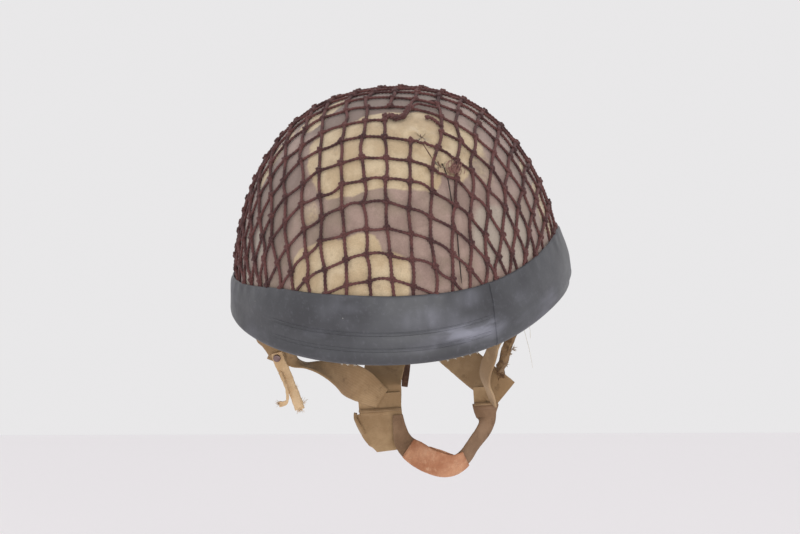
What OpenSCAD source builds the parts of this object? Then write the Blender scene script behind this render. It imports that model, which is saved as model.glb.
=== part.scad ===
// Paratrooper helmet: a domed steel shell in a cloth cover and a knotted string net,
// with a rubber band stretched over the rim, a padded head liner and a web chin harness.
// Millimetres. +Z is up, the brow is at -Y and the wearer's left is at +X.
// The origin is the middle of the head opening, in the plane of the rim's front and back.

/* [Dome] */
// Half the width over the cloth cover, at the widest level
dome_half_w = 119.4; // [112:0.1:128]
// Half the length over the cloth cover, brow to nape
dome_half_l = 140.2; // [132:0.1:150]
// Height of the crown above the widest level
dome_rise = 138.4; // [130:0.1:146]
// Height of the widest level above the rim plane
dome_level = 25; // [22:0.5:28]
// Fullness of the shoulder, 2 is an ellipse
shoulder_power = 2.52; // [2.2:0.01:2.7]
// Flatness of the crown, 2 is an ellipse
crown_power = 1.8; // [1.7:0.01:2.1]
// Outward lean of the wall below the widest level, for each mm of height
wall_lean = 0.11; // [0.05:0.01:0.15]
// Rise of the shell's edge over the ears
ear_arch = 14.5; // [10:0.5:18]

/* [Shell and cover] */
// Thickness of the steel
shell_t = 1.5; // [1:0.1:2]
// Thickness of the cover's cloth
cover_t = 1.2; // [0.8:0.1:1.6]
// Gap between the cover and the steel
skin_gap = 0.3; // [0.3:0.05:0.6]
// Height of the shell's edge above the rubber, at brow and nape
shell_edge = 5; // [5:0.5:7]

/* [Net] */
// Knot to knot
net_mesh = 19.5; // [19:0.5:26]
// Width of the cord
cord_w = 2.4; // [1.8:0.1:2.8]
// Height of the cord above its lowest side
cord_h = 2.1; // [1.6:0.1:2.4]
// Height of a knot above the cord
knot_rise = 1.1; // [0.6:0.1:1.6]
// Height of the net above the cloth
net_lift = 0.5; // [0.5:0.05:0.8]

/* [Rubber band] */
// Thickness of the rubber
band_t = 2.2; // [1.8:0.1:2.8]
// Height of its upper edge, on average
band_top = 48.4; // [44:0.1:52]
// Rise of the upper edge towards the wearer's left
band_tilt = 4.6; // [0:0.1:6]
// Rise of the upper edge over both ears
band_ear_rise = 3.1; // [0:0.1:5]
// Waviness of the upper edge
band_ripple = 3.1; // [0:0.1:4]
// Rise of the lower edge towards the wearer's left
band_skew = 2.3; // [0:0.1:2.5]
// Height of the part that is turned up inside the rim
band_lip = 8; // [6:0.5:9]
// Extra thickness where the two ends overlap
lap_t = 1.1; // [0.5:0.1:1.6]

/* [Liner] */
// Width of the head opening inside the sweatband
head_w = 158; // [150:1:166]
// Length of the head opening inside the sweatband
head_l = 196; // [188:1:206]
// Thickness of the sweatband
sweat_t = 2.5; // [2:0.1:3.5]
// Height of the sweatband
sweat_h = 38; // [34:1:42]
// Thickness of the stiff headband
headband_t = 2; // [1.5:0.1:2.5]
// Height of the stiff headband
headband_h = 30; // [26:1:34]
// Height of the headband's lower edge
headband_z = 26; // [24:0.5:30]
// Width of the crown tapes
tape_w = 18; // [14:1:20]
// Thickness of the crown tapes
tape_t = 1.4; // [1:0.1:1.6]
// Height of the crown tapes' top
cradle_z = 134; // [128:0.5:138]
// Radius of the crown pad
crown_pad_r = 38; // [30:1:42]

/* [Harness] */
// Height of the three harness bolts
bolt_z = 32; // [31:0.5:34]
// Radius of a bolt's shank
bolt_r = 2.4; // [2:0.1:2.8]
// Thickness of the web
web_t = 1.8; // [1.4:0.1:2]
// Width of the side straps
side_w = 19; // [16:1:21]
// Width of the nape strap on the wearer's left
nape_left_w = 27; // [24:1:30]
// Width of the nape strap on the wearer's right
nape_right_w = 32; // [28:1:34]
// Width of the chin strap
chin_w = 19; // [16:1:20]
// Width of the chin cup
cup_w = 28; // [24:1:32]
// Thickness of the chin cup's leather
leather_t = 1.5; // [1.2:0.1:1.8]
// Distance of the chin hinge behind the middle of the head opening
chin_hinge_y = 70; // [69:0.5:71]
// Depth of the chin hinge below the rim plane
chin_hinge_drop = 100; // [99:0.5:101]

/* [Hidden] */
// Columns round the dome and round the rubber band
dome_cols = 48;
band_cols = 60;
// Clearance between pieces that lie on each other
lie_gap = 0.3;
// Layers, measured outward from the outside of the cloth cover
cover_in = -cover_t;
shell_out = cover_in - skin_gap;
shell_in = shell_out - shell_t;
cord_under_band = 1.3;
band_in = net_lift + cord_under_band + 0.7;
lip_out = shell_in - 0.7;
lip_in = lip_out - band_t + 0.2;
net_underlap = 5;
net_flatten = 8;
lap_angle = -57;
lap_fade = 50;

// Vectors and closed meshes

function unit(v) = v / norm(v);
function mix(a, b, t) = a + (b - a) * t;
function flat_list(lists) = [for (l = lists) for (e = l) e];
function two_triangles(q) = [[q[0], q[1], q[2]], [q[0], q[2], q[3]]];

// Faces of a closed skin whose rings are stacked from one end to the other
function stacked_faces(rings, cols) = flat_list([
    for (r = [0:rings - 2]) for (c = [0:cols - 1])
        let (d = (c + 1) % cols)
        two_triangles([r * cols + c, r * cols + d, (r + 1) * cols + d, (r + 1) * cols + c])]);

// A skin between two end points that lie on its own axis
module domed_solid(rings, first, last) {
    n = len(rings);
    cols = len(rings[0]);
    top = [for (c = [0:cols - 1]) [n * cols, (c + 1) % cols, c]];
    low = [for (c = [0:cols - 1]) [n * cols + 1, (n - 1) * cols + c, (n - 1) * cols + (c + 1) % cols]];
    polyhedron(concat(flat_list(rings), [first, last]), concat(stacked_faces(n, cols), top, low));
}

// A skin whose first and last rings are closed flat
module capped_solid(rings) {
    n = len(rings);
    cols = len(rings[0]);
    first = [for (c = [1:cols - 2]) [0, c + 1, c]];
    last = [for (c = [1:cols - 2]) [(n - 1) * cols, (n - 1) * cols + c, (n - 1) * cols + c + 1]];
    polyhedron(flat_list(rings), concat(stacked_faces(n, cols), first, last));
}

// A skin that closes on itself both ways
module ring_solid(rings) {
    n = len(rings);
    cols = len(rings[0]);
    faces = flat_list([for (r = [0:n - 1]) for (c = [0:cols - 1])
        let (s = (r + 1) % n, d = (c + 1) % cols)
        two_triangles([r * cols + c, r * cols + d, s * cols + d, s * cols + c])]);
    polyhedron(flat_list(rings), faces);
}

// The dome's surface

// Point at a turn about Z and a height, off is how far outside the cover it lies
function wall_pt(turn, z, off) = let (
    up = z - dome_level,
    share = up <= 0 ? 1 : pow(max(0, 1 - pow(up / (dome_rise + off), crown_power)), 1 / shoulder_power),
    lean = max(0, -up) * wall_lean)
    [((dome_half_w + off) * share + lean) * cos(turn), ((dome_half_l + off) * share + lean) * sin(turn), z];

// Height on the dome for a slope angle, 0 at the widest level and 90 at the crown
function slope_z(slope, off) = dome_level + (dome_rise + off) * pow(sin(slope), 2 / crown_power);
function shell_edge_z(turn) = shell_edge + ear_arch * pow(cos(turn), 2);
function band_low_z(turn) = ear_arch * pow(cos(turn), 2) + band_skew * cos(turn);
function band_top_z(turn) = band_top + band_tilt * cos(turn) + band_ear_rise * cos(2 * turn)
    + band_ripple * cos(3 * turn);

dome_slopes = [80, 68, 57, 46, 35, 25, 15, 7, 0];
function dome_ring(slope, off) =
    [for (c = [0:dome_cols - 1]) wall_pt(c * 360 / dome_cols, slope_z(slope, off), off)];
function edge_ring(off) =
    [for (c = [0:dome_cols - 1]) let (turn = c * 360 / dome_cols) wall_pt(turn, shell_edge_z(turn), off)];

// A layer of the dome between two offsets
module dome_layer(outer, inner) {
    outside = [for (s = dome_slopes) dome_ring(s, outer)];
    inside = [for (i = [len(dome_slopes) - 1:-1:0]) dome_ring(dome_slopes[i], inner)];
    rings = concat(outside, [edge_ring(outer), edge_ring(inner)], inside);
    domed_solid(rings, [0, 0, slope_z(90, outer)], [0, 0, slope_z(90, inner)]);
}

// Harness bolts: wearer's left, nape and wearer's right

bolt_turns = [0, 90, 180];
function bolt_reach(i) = i == 1 ? dome_half_l : dome_half_w;
bolt_head_r = 4.5;
bolt_head_t = 2;
bolt_clear = 0.2;
spacer_t = 2;
spacer_r = 6;
hanger_t = 1.5;
nut_t = 3.5;
nut_r = 5;
// Distances inward from the outside of the cover along a bolt
spacer_at = -shell_in + 1.4;
hanger_at = spacer_at + spacer_t + lie_gap;
nut_at = hanger_at + hanger_t + lie_gap;
strap_at = nut_at;

module at_bolt(i, inward) {
    rotate([0, 0, bolt_turns[i]]) translate([bolt_reach(i) - inward, 0, bolt_z]) rotate([0, -90, 0]) children();
}

module steel_shell() {
    color("dimgray") difference() {
        dome_layer(shell_out, shell_in);
        for (i = [0:2]) at_bolt(i, -5) cylinder(h = 20, r = bolt_r + bolt_clear, $fn = 24);
    }
}

module cloth_cover() {
    color("darkkhaki") difference() {
        dome_layer(0, cover_in);
        for (i = [0:2]) at_bolt(i, -5) cylinder(h = 7 - shell_out, r = bolt_head_r + 0.7, $fn = 24);
    }
}

// The knotted net: every knot is the mirror image of the knot two cords back, so that all cords
// have one length, as in a string net pulled over a ball. One quarter is worked out and mirrored.

profile_steps = 30;
mean_r = (dome_half_w + dome_half_l) / 2;
profile = [for (i = [0:profile_steps]) let (slope = 90 - 90 * i / profile_steps)
    [mean_r * pow(max(0, cos(slope)), 2 / shoulder_power), dome_rise * pow(sin(slope), 2 / crown_power)]];
profile_run = [for (i = 0, run = 0; i <= profile_steps;
    i = i + 1, run = i <= profile_steps ? run + norm(profile[i] - profile[i - 1]) : run) run];
share_by_run = [for (i = [0:profile_steps]) [profile_run[i], profile[i][0] / mean_r]];
height_by_run = [for (i = [0:profile_steps]) [profile_run[i], profile[i][1] / dome_rise]];
quarter_run = profile_run[profile_steps];
mesh_angle = net_mesh / quarter_run * 90;
net_reach = ceil((quarter_run + 10) / net_mesh);

function mirrored(p, b, c) = let (n = unit(cross(b, c))) p - 2 * (p * n) * n;
function next_row(row, start) = [for (j = 0, p = start; j <= net_reach;
    j = j + 1, p = j <= net_reach ? mirrored(row[j - 1], row[j], p) : p) p];
function seed(axis, k) = axis * sin(k * mesh_angle) + [0, 0, cos(k * mesh_angle)];
net_rows = [for (i = 0, row = [for (j = [0:net_reach]) seed([0, 1, 0], j)]; i <= net_reach;
    i = i + 1, row = i <= net_reach ? next_row(row, seed([1, 0, 0], i)) : row) row];

// Direction of a knot from the middle of a ball, for any quarter
function knot_dir(i, j) = let (p = net_rows[abs(i)][abs(j)]) [sign(i) * abs(p[0]), sign(j) * abs(p[1]), p[2]];

// Place of a direction on the dome, with the same length of run from the crown
function on_dome(dir, off) = let (
    run = acos(dir[2]) / 90 * quarter_run,
    turn = atan2(dir[1], dir[0]),
    share = lookup(run, share_by_run),
    height = lookup(run, height_by_run) * (dome_rise + off) - max(0, run - quarter_run))
    [(dome_half_w + off) * share * cos(turn), (dome_half_l + off) * share * sin(turn), dome_level + height];

function knot_turn(i, j) = let (d = knot_dir(i, j)) atan2(d[1], d[0]);
function knot_limit(i, j) = band_top_z(knot_turn(i, j)) - net_underlap;
function in_reach(i, j) = abs(i) < net_reach && abs(j) < net_reach;
function knot_free(i, j) = in_reach(i, j) && on_dome(knot_dir(i, j), 0)[2] > knot_limit(i, j);
// A knot past the limit is kept where a cord leads to it, and is drawn up to the limit
function knot_used(i, j) = in_reach(i, j) && (knot_free(i, j) || knot_free(i - 1, j) || knot_free(i + 1, j)
    || knot_free(i, j - 1) || knot_free(i, j + 1));
function has_cord(i, j, k, l) = knot_used(i, j) && knot_used(k, l) && (knot_free(i, j) || knot_free(k, l));
function knot_at(i, j, off) = knot_free(i, j) ? on_dome(knot_dir(i, j), off)
    : wall_pt(knot_turn(i, j), knot_limit(i, j), off);

function corner(i, j, si, sj, off) = let (
    p = knot_at(i, j, off),
    along_i = unit(on_dome(knot_dir(i + 1, j), off) - on_dome(knot_dir(i - 1, j), off)),
    along_j = unit(on_dome(knot_dir(i, j + 1), off) - on_dome(knot_dir(i, j - 1), off)),
    spread = max(0.45, norm(cross(along_i, along_j))))
    p + cord_w / 2 / spread * (si * along_i + sj * along_j);

knots = [for (i = [-net_reach + 1:net_reach - 1]) for (j = [-net_reach + 1:net_reach - 1])
    if (knot_used(i, j)) [i, j]];
knot_rank = [for (i = [-net_reach:net_reach]) [for (j = [-net_reach:net_reach])
    let (found = search([[i, j]], knots)) found[0] == [] ? -1 : found[0]]];
function rank(i, j) = knot_rank[i + net_reach][j + net_reach];
points_per_knot = 9;
quarters = [[1, 1], [-1, 1], [-1, -1], [1, -1]];

function near_band(i, j) = knot_at(i, j, 0)[2] < band_top_z(knot_turn(i, j)) + net_flatten;
function knot_points(i, j) = let (
    pressed = near_band(i, j),
    low = net_lift,
    high = low + (pressed ? cord_under_band : cord_h),
    peak = high + (pressed ? 0.2 : knot_rise))
    concat([for (q = quarters) corner(i, j, q[0], q[1], low)],
           [for (q = quarters) corner(i, j, q[0], q[1], high)], [knot_at(i, j, peak)]);

// The side of a knot that a cord leaves from: its two corners, seen from outside left to right
function cord_faces(a, b, a_left, a_right, b_left, b_right) = let (
    p = a * points_per_knot, q = b * points_per_knot)
    flat_list([two_triangles([p + a_left + 4, q + b_left + 4, q + b_right + 4, p + a_right + 4]),
               two_triangles([p + a_right, q + b_right, q + b_left, p + a_left]),
               two_triangles([p + a_left, q + b_left, q + b_left + 4, p + a_left + 4]),
               two_triangles([p + a_right + 4, q + b_right + 4, q + b_right, p + a_right])]);
function end_faces(a, left, right) = let (p = a * points_per_knot)
    two_triangles([p + left + 4, p + right + 4, p + right, p + left]);
function knot_faces(a) = let (p = a * points_per_knot)
    concat([for (k = [0:3]) [p + 4 + k, p + 4 + (k + 3) % 4, p + 8]], two_triangles([p, p + 1, p + 2, p + 3]));

module camouflage_net() {
    points = flat_list([for (k = knots) knot_points(k[0], k[1])]);
    faces = flat_list([for (k = knots) let (i = k[0], j = k[1], a = rank(i, j)) concat(
        knot_faces(a),
        has_cord(i, j, i + 1, j) ? cord_faces(a, rank(i + 1, j), 0, 3, 1, 2) : end_faces(a, 3, 0),
        has_cord(i, j, i, j + 1) ? cord_faces(a, rank(i, j + 1), 1, 0, 2, 3) : end_faces(a, 0, 1),
        has_cord(i, j, i - 1, j) ? [] : end_faces(a, 1, 2),
        has_cord(i, j, i, j - 1) ? [] : end_faces(a, 2, 3))]);
    color("saddlebrown") polyhedron(points, faces);
}

// The rubber band: one section is swept round the rim, and steps up where its ends overlap

function lap_at(turn) = let (past = turn - lap_angle)
    past < 0 || past > lap_fade ? 0 : lap_t * (1 - past / lap_fade);
function band_section(turn) = let (
    top = band_top_z(turn),
    low = band_low_z(turn),
    seat = shell_edge_z(turn) - 0.4,
    extra = lap_at(turn),
    back = band_in,
    face = band_in + band_t + extra)
    concat([wall_pt(turn, low + band_lip, lip_in), wall_pt(turn, low + 3.5, lip_in)],
           [wall_pt(turn, low + 1, lip_in + 1.6), wall_pt(turn, low, lip_out + 1.4)],
           [wall_pt(turn, low, cover_in + 1.4), wall_pt(turn, low + 1.4, face - 0.8)],
           [wall_pt(turn, low + 4.5, face + 0.4)],
           [for (k = [1:3]) wall_pt(turn, mix(low + 4.5, top - 1, k / 4), face + 0.4 * (1 - k / 4))],
           [wall_pt(turn, top - 1, face), wall_pt(turn, top, face - 0.9), wall_pt(turn, top, back)],
           [for (k = [1:3]) wall_pt(turn, mix(top, seat, k / 4), back)],
           [wall_pt(turn, seat, back), wall_pt(turn, seat, lip_out), wall_pt(turn, low + band_lip, lip_out)]);

module rubber_band() {
    step = 360 / band_cols;
    even = [for (c = [0:band_cols - 1]) -180 + c * step];
    turns = concat([for (t = even) if (t < lap_angle - 1) t], [lap_angle - 0.3, lap_angle + 0.3],
                   [for (t = even) if (t > lap_angle + 1) t]);
    color("darkslategray") ring_solid([for (t = turns) band_section(t)]);
}

// The liner

tape_room = tape_t + 1.2;
sweat_out_w = head_w / 2 + sweat_t;
sweat_out_l = head_l / 2 + sweat_t;
headband_in_w = sweat_out_w + tape_room;
headband_in_l = sweat_out_l + tape_room;
headband_out_w = headband_in_w + headband_t;
headband_out_l = headband_in_l + headband_t;
sweat_z = headband_z - 5;
lace_gap = 12;
lace_x = 13;
lace_r = 0.9;
lace_rows = 4;
lace_pitch = 8.5;

module oval(half_w, half_l, cols = 64) {
    polygon([for (c = [0:cols - 1]) [half_w * cos(c * 360 / cols), half_l * sin(c * 360 / cols)]]);
}

module oval_band(half_w, half_l, t, z, h) {
    translate([0, 0, z]) linear_extrude(h) difference() {
        oval(half_w + t, half_l + t);
        oval(half_w, half_l);
    }
}

module headband_frame() {
    color("black") oval_band(headband_in_w, headband_in_l, headband_t, headband_z, headband_h);
}

function lace_z(row) = sweat_z + 6 + row * lace_pitch;

module lace_holes(r, h) {
    for (row = [0:lace_rows - 1]) for (side = [-1, 1])
        translate([side * lace_x, head_l / 2 - 4, lace_z(row)])
            rotate([-90, 0, 0]) cylinder(h = h, r = r, $fn = 16);
}

module sweatband() {
    color("sienna") difference() {
        oval_band(head_w / 2, head_l / 2, sweat_t, sweat_z, sweat_h);
        translate([-lace_gap / 2, head_l / 2 - 10, sweat_z - 1]) cube([lace_gap, 20, sweat_h + 2]);
        lace_holes(1.6, 10);
    }
}

// The lace crosses the gap from each hole to the next hole up on the other side
module sweatband_lace() {
    y = head_l / 2 - 4;
    rise = norm([2 * lace_x, lace_pitch]);
    lean = atan2(lace_pitch, 2 * lace_x);
    thin_r = lace_r - 0.15;
    color("tan") union() {
        translate([0, -1.3, 0]) lace_holes(lace_r, 6.8);
        for (row = [0:lace_rows - 2]) for (side = [-1, 1])
            translate([side * lace_x, y - 0.2 - 0.3 * side, lace_z(row)])
                rotate([0, side * (lean - 90), 0]) cylinder(h = rise, r = thin_r, $fn = 12);
        translate([-lace_x, y - 0.2, lace_z(0)])
            rotate([0, 90, 0]) cylinder(h = 2 * lace_x, r = thin_r, $fn = 12);
        for (side = [-1, 1])
            translate([side * lace_x, y - 1.2, lace_z(lace_rows - 1)]) sphere(r = 1.8, $fn = 16);
    }
}

// A rubber pad between headband and shell, drawn in at its ends and crowned on its free sides
pad_z = headband_z + 2;
pad_h = 26;
pad_stations = 8;
pad_bulge = 1.6;
module liner_pad(middle, spread) {
    rings = [for (k = [0:pad_stations])
        let (u = 2 * k / pad_stations - 1,
             turn = middle + spread * u,
             full = pow(max(0, 1 - pow(abs(u), 6)), 0.5),
             h = pad_h / 2 * (0.72 + 0.28 * full),
             mid_z = pad_z + pad_h / 2,
             squeeze = 1.5 * (1 - full),
             inner = [for (s = [-1, 0, 1]) [(headband_out_w + lie_gap + squeeze) * cos(turn),
                                            (headband_out_l + lie_gap + squeeze) * sin(turn), mid_z + s * h]],
             outer = [for (s = [-1, 0, 1]) wall_pt(turn, mid_z + s * h, shell_in - 2 * lie_gap - squeeze)],
             low = mix(inner[0], outer[0], 0.5) - [0, 0, pad_bulge],
             high = mix(inner[2], outer[2], 0.5) + [0, 0, pad_bulge])
        [low, outer[0], outer[1], outer[2], high, inner[2], inner[1], inner[0]]];
    color("dimgray") capped_solid(rings);
}

module front_pad() { liner_pad(-90, 15); }
module front_left_pad() { liner_pad(-38, 16); }
module front_right_pad() { liner_pad(-142, 16); }
module rear_left_pad() { liner_pad(42, 18); }
module rear_right_pad() { liner_pad(138, 18); }

crown_pad_z = cradle_z + lie_gap;
module crown_pad() {
    top = slope_z(90, shell_in) - 2 * lie_gap;
    shoulder = top - 7;
    color("gray") rotate_extrude($fn = 48)
        polygon([[0, crown_pad_z], [crown_pad_r - 3, crown_pad_z], [crown_pad_r, crown_pad_z + 4],
                 [crown_pad_r, shoulder], [crown_pad_r * 0.55, top - 2.2], [0, top]]);
}

// A tape from the headband over the head and down again
module crown_tape(half_span, top, t, w) {
    start_z = headband_z + headband_h;
    leg = headband_h - 4;
    steps = 24;
    outer = [for (k = [0:steps]) let (a = 180 * k / steps)
        [half_span * cos(a), start_z + (top - start_z) * sin(a)]];
    inner = [for (k = [steps:-1:0]) let (a = 180 * k / steps)
        [(half_span - t) * cos(a), start_z + (top - t - start_z) * sin(a)]];
    foot = start_z - leg;
    rotate([90, 0, 90]) translate([0, 0, -w / 2]) linear_extrude(w)
        polygon(concat([[half_span, foot]], outer, [[-half_span, foot], [t - half_span, foot]],
                       inner, [[half_span - t, foot]]));
}

// How far a flat tape stands off the oval behind it
function oval_sag(along, beside) = along * (1 - sqrt(1 - pow(tape_w / 2 / beside, 2)));

module crown_tape_long() {
    half_span = headband_in_l - lie_gap - oval_sag(headband_in_l, headband_in_w);
    color("tan") crown_tape(half_span, cradle_z, tape_t, tape_w);
}

module crown_tape_cross() {
    half_span = headband_in_w - lie_gap - oval_sag(headband_in_w, headband_in_l);
    color("tan") rotate([0, 0, 90]) crown_tape(half_span, cradle_z - tape_t - 2 * lie_gap, tape_t, tape_w);
}

// The fasteners

module harness_bolts() {
    color("darkgoldenrod") for (i = [0:2]) {
        at_bolt(i, -shell_out - lie_gap - bolt_head_t) union() {
            cylinder(h = bolt_head_t, r = bolt_head_r, $fn = 32);
            cylinder(h = nut_at + nut_t + 1 + shell_out + lie_gap + bolt_head_t, r = bolt_r, $fn = 32);
        }
    }
}

module ring_piece(r, bore, h) {
    difference() {
        cylinder(h = h, r = r, $fn = 32);
        translate([0, 0, -1]) cylinder(h = h + 2, r = bore, $fn = 32);
    }
}

module harness_spacers() {
    color("silver") for (i = [0:2]) at_bolt(i, spacer_at) ring_piece(spacer_r, bolt_r + bolt_clear, spacer_t);
}

module harness_nuts() {
    color("darkgoldenrod") for (i = [0:2]) at_bolt(i, nut_at) difference() {
        cylinder(h = nut_t, r = nut_r, $fn = 6);
        translate([0, 0, -1]) cylinder(h = nut_t + 2, r = bolt_r + 0.05, $fn = 32);
    }
}

// A metal hanger: a strip with round ends that hangs from its bolt
hanger_w = 16;
hanger_drop = 22;
rivet_drop = 17;
rivet_r = 2;
module hanger(i) {
    color("gray") at_bolt(i, hanger_at) difference() {
        linear_extrude(hanger_t) union() {
            circle(r = hanger_w / 2, $fn = 32);
            translate([-hanger_drop, -hanger_w / 2]) square([hanger_drop, hanger_w]);
            translate([-hanger_drop, 0]) circle(r = hanger_w / 2, $fn = 32);
        }
        translate([0, 0, -1]) cylinder(h = hanger_t + 2, r = bolt_r + bolt_clear, $fn = 32);
        translate([-rivet_drop, 0, -1]) cylinder(h = hanger_t + 2, r = rivet_r + 0.1, $fn = 32);
    }
}

module left_hanger() { hanger(0); }
module rear_hanger() { hanger(1); }
module right_hanger() { hanger(2); }

// A rivet through a hanger and the layers of web on it
rivet_head_r = 3.6;
rivet_head_t = 1.1;
module strap_rivets() {
    color("darkgoldenrod") for (i = [0:2]) {
        layers = i == 1 ? 2 : 1;
        grip = hanger_t + layers * (lie_gap + web_t) + 2 * lie_gap;
        at_bolt(i, hanger_at - lie_gap) translate([-rivet_drop, 0, 0]) union() {
            cylinder(h = grip, r = rivet_r, $fn = 32);
            translate([0, 0, -rivet_head_t]) cylinder(h = rivet_head_t, r = rivet_head_r, $fn = 32);
            translate([0, 0, grip]) cylinder(h = rivet_head_t, r = rivet_head_r, $fn = 32);
        }
    }
}

module rivet_holes(i) {
    at_bolt(i, hanger_at - 3) translate([-rivet_drop, 0, 0]) cylinder(h = 14, r = rivet_r + 0.1, $fn = 32);
}

// Straps. Each control point is [place, the way the strap's face looks, width]

// A strap starts and ends at its outer points and is drawn towards those between, so that
// it stays flat where three points lie in line
strap_steps = 4;
function pick(line, k) = line[max(0, min(len(line) - 1, k))];
function bow(a, b, c, t) = mix(mix(a, b, t), mix(b, c, t), t);
function between(route, k, part) = k == 0 ? route[0][part]
    : k == len(route) - 2 ? route[k + 1][part] : mix(route[k][part], route[k + 1][part], 0.5);
function strap_line(route, steps = strap_steps) = concat(
    [for (k = [1:len(route) - 2]) for (s = [0:steps - 1])
        [for (part = [0:2])
            bow(between(route, k - 1, part), route[k][part], between(route, k, part), s / steps)]],
    [route[len(route) - 1]]);

function strap_ring(line, k, t, off) = let (
    tangent = unit(pick(line, k + 1)[0] - pick(line, k - 1)[0]),
    across = unit(cross(line[k][1], tangent)),
    out = cross(tangent, across),
    half = line[k][2] / 2,
    p = line[k][0] + out * off)
    [p + across * half + out * t / 2, p + across * half - out * t / 2,
     p - across * half - out * t / 2, p - across * half + out * t / 2];

module strap_on(line, t, off) {
    capped_solid([for (k = [0:len(line) - 1]) strap_ring(line, k, t, off)]);
}

module strap(route, t = web_t) {
    strap_on(strap_line(route), t, 0);
}

// Where the first layer of web lies on the hangers
left_web_x = bolt_reach(0) - strap_at - web_t / 2;
rear_web_y = bolt_reach(1) - strap_at - web_t / 2;
rivet_z = bolt_z - rivet_drop;
layer = web_t + lie_gap;
// Where the layers of web meet above the chin hinge
junction_y = chin_hinge_y + 2;
// Places on the harness are given for the sizes above, and follow them when they change
wide = left_web_x / 110;
deep = chin_hinge_y / 70;
low = chin_hinge_drop / 100;
function hung(x, y, z) = [x * wide, y * deep, z * low];
function hung_at(x, y, z) = [x * wide, y, z * low];
// Where the torn strap turns on the right hanger's web
tail_pivot = hung(-97.5, 12, -34);

left_side_route = [
    [[left_web_x, 0, rivet_z + 10], [-1, 0, 0], side_w],
    [[left_web_x, 0, rivet_z], [-1, 0, 0], side_w],
    [[left_web_x, 0, rivet_z - 10], [-1, 0, 0], side_w],
    [hung(98, 7, -4), [-0.9, -0.3, 0], side_w],
    [hung(82, 14, -13), [-0.9, -0.3, 0.2], side_w],
    [hung(68, 22, -30), [-0.9, -0.3, 0.1], side_w],
    [hung(62, 31, -49), [-1, -0.2, 0], side_w],
    [hung(59, 45, -66), [-1, -0.3, 0], side_w],
    [hung(62, 60, -78), [-0.7, -0.7, 0], side_w],
    [hung_at(62, junction_y - layer, -83), [0, -1, 0], side_w],
    [hung_at(62, junction_y - layer, -93), [0, -1, 0], side_w]];

right_hanger_route = [
    [[-left_web_x, 0, rivet_z + 10], [1, 0, 0], 16],
    [[-left_web_x, 0, rivet_z], [1, 0, 0], 16],
    [[-left_web_x, 0, rivet_z - 10], [1, 0, 0], 16],
    [hung(-106, 4, -15), [0.8, -0.5, 0], 16],
    [hung_at(-102, tail_pivot[1], -25), [0, -1, 0], 16],
    [hung_at(-97.5, tail_pivot[1], -34), [0, -1, 0], 16],
    [hung_at(-95.5, tail_pivot[1], -42), [0, -1, 0], 14]];

right_side_route = [
    [hung_at(-104, tail_pivot[1] + layer, -30), [0, -1, 0], 15],
    [hung_at(-97.5, tail_pivot[1] + layer, -34), [0, -1, 0], 15],
    [hung_at(-90, tail_pivot[1] + layer, -38), [0, -1, 0], 15],
    [hung(-80, 22, -42), [0, -0.6, 0.8], 16],
    [hung(-68, 37, -51), [0, -0.6, 0.8], side_w],
    [hung(-54, 54, -63), [0, -0.8, 0.5], 24],
    [hung(-43, 66, -75), [0, -1, 0.2], 26],
    [hung_at(-36, junction_y - layer, -80), [0, -1, 0], 24],
    [hung_at(-25, junction_y - layer, -88), [0, -1, 0], 18]];

left_nape_route = [
    [[3, rear_web_y, rivet_z + 9], [0, -1, 0], nape_left_w],
    [[3, rear_web_y, rivet_z], [0, -1, 0], nape_left_w],
    [[3, rear_web_y, rivet_z - 9], [0, -1, 0], nape_left_w],
    [hung(12, 126, -30), [-0.1, -1, 0.2], nape_left_w],
    [hung(24, 112, -56), [-0.5, -0.8, 0.4], nape_left_w],
    [hung(40, 98, -70), [-0.5, -0.8, 0.4], nape_left_w],
    [hung(52, 84, -80), [-0.4, -0.9, 0.3], nape_left_w],
    [hung_at(62, junction_y + layer + 1.3, -82), [0, -1, 0], nape_left_w],
    [hung_at(77, junction_y + layer + 1.3, -88), [0, -1, 0], nape_left_w - 3]];

right_nape_route = [
    [[-3, rear_web_y - layer, rivet_z + 9], [0, -1, 0], nape_right_w],
    [[-3, rear_web_y - layer, rivet_z], [0, -1, 0], nape_right_w],
    [[-3, rear_web_y - layer, rivet_z - 9], [0, -1, 0], nape_right_w],
    [hung(-10, 117, -30), [-0.1, -1, 0.2], nape_right_w],
    [hung(-18, 108, -56), [0, -0.8, 0.6], nape_right_w],
    [hung(-22, 94, -68), [0, -0.7, 0.7], nape_right_w],
    [hung_at(-25, junction_y + layer + 0.1, -75), [0, -1, 0], nape_right_w],
    [hung_at(-25, junction_y + layer + 0.1, -84), [0, -1, 0], nape_right_w],
    [hung_at(-26, junction_y + layer + 0.1, -93), [0, -1, 0], nape_right_w]];

module left_side_strap() {
    color("burlywood") difference() { strap(left_side_route); rivet_holes(0); }
}
module right_hanger_web() {
    color("burlywood") difference() {
        strap(right_hanger_route);
        rivet_holes(2);
        tail_hole(rivet_r + 0.1);
    }
}
module right_side_strap() {
    color("burlywood") difference() { strap(right_side_route); tail_hole(rivet_r + 0.1); }
}
module left_nape_strap() {
    color("burlywood") difference() { strap(left_nape_route); rivet_holes(1); }
}
module right_nape_strap() {
    color("burlywood") difference() { strap(right_nape_route); rivet_holes(1); }
}

// The torn strap turns about a rivet through the right hanger web

module tail_hole(r) {
    translate([tail_pivot[0], tail_pivot[1] - 10, tail_pivot[2]])
        rotate([-90, 0, 0]) cylinder(h = 20, r = r, $fn = 32);
}

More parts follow.
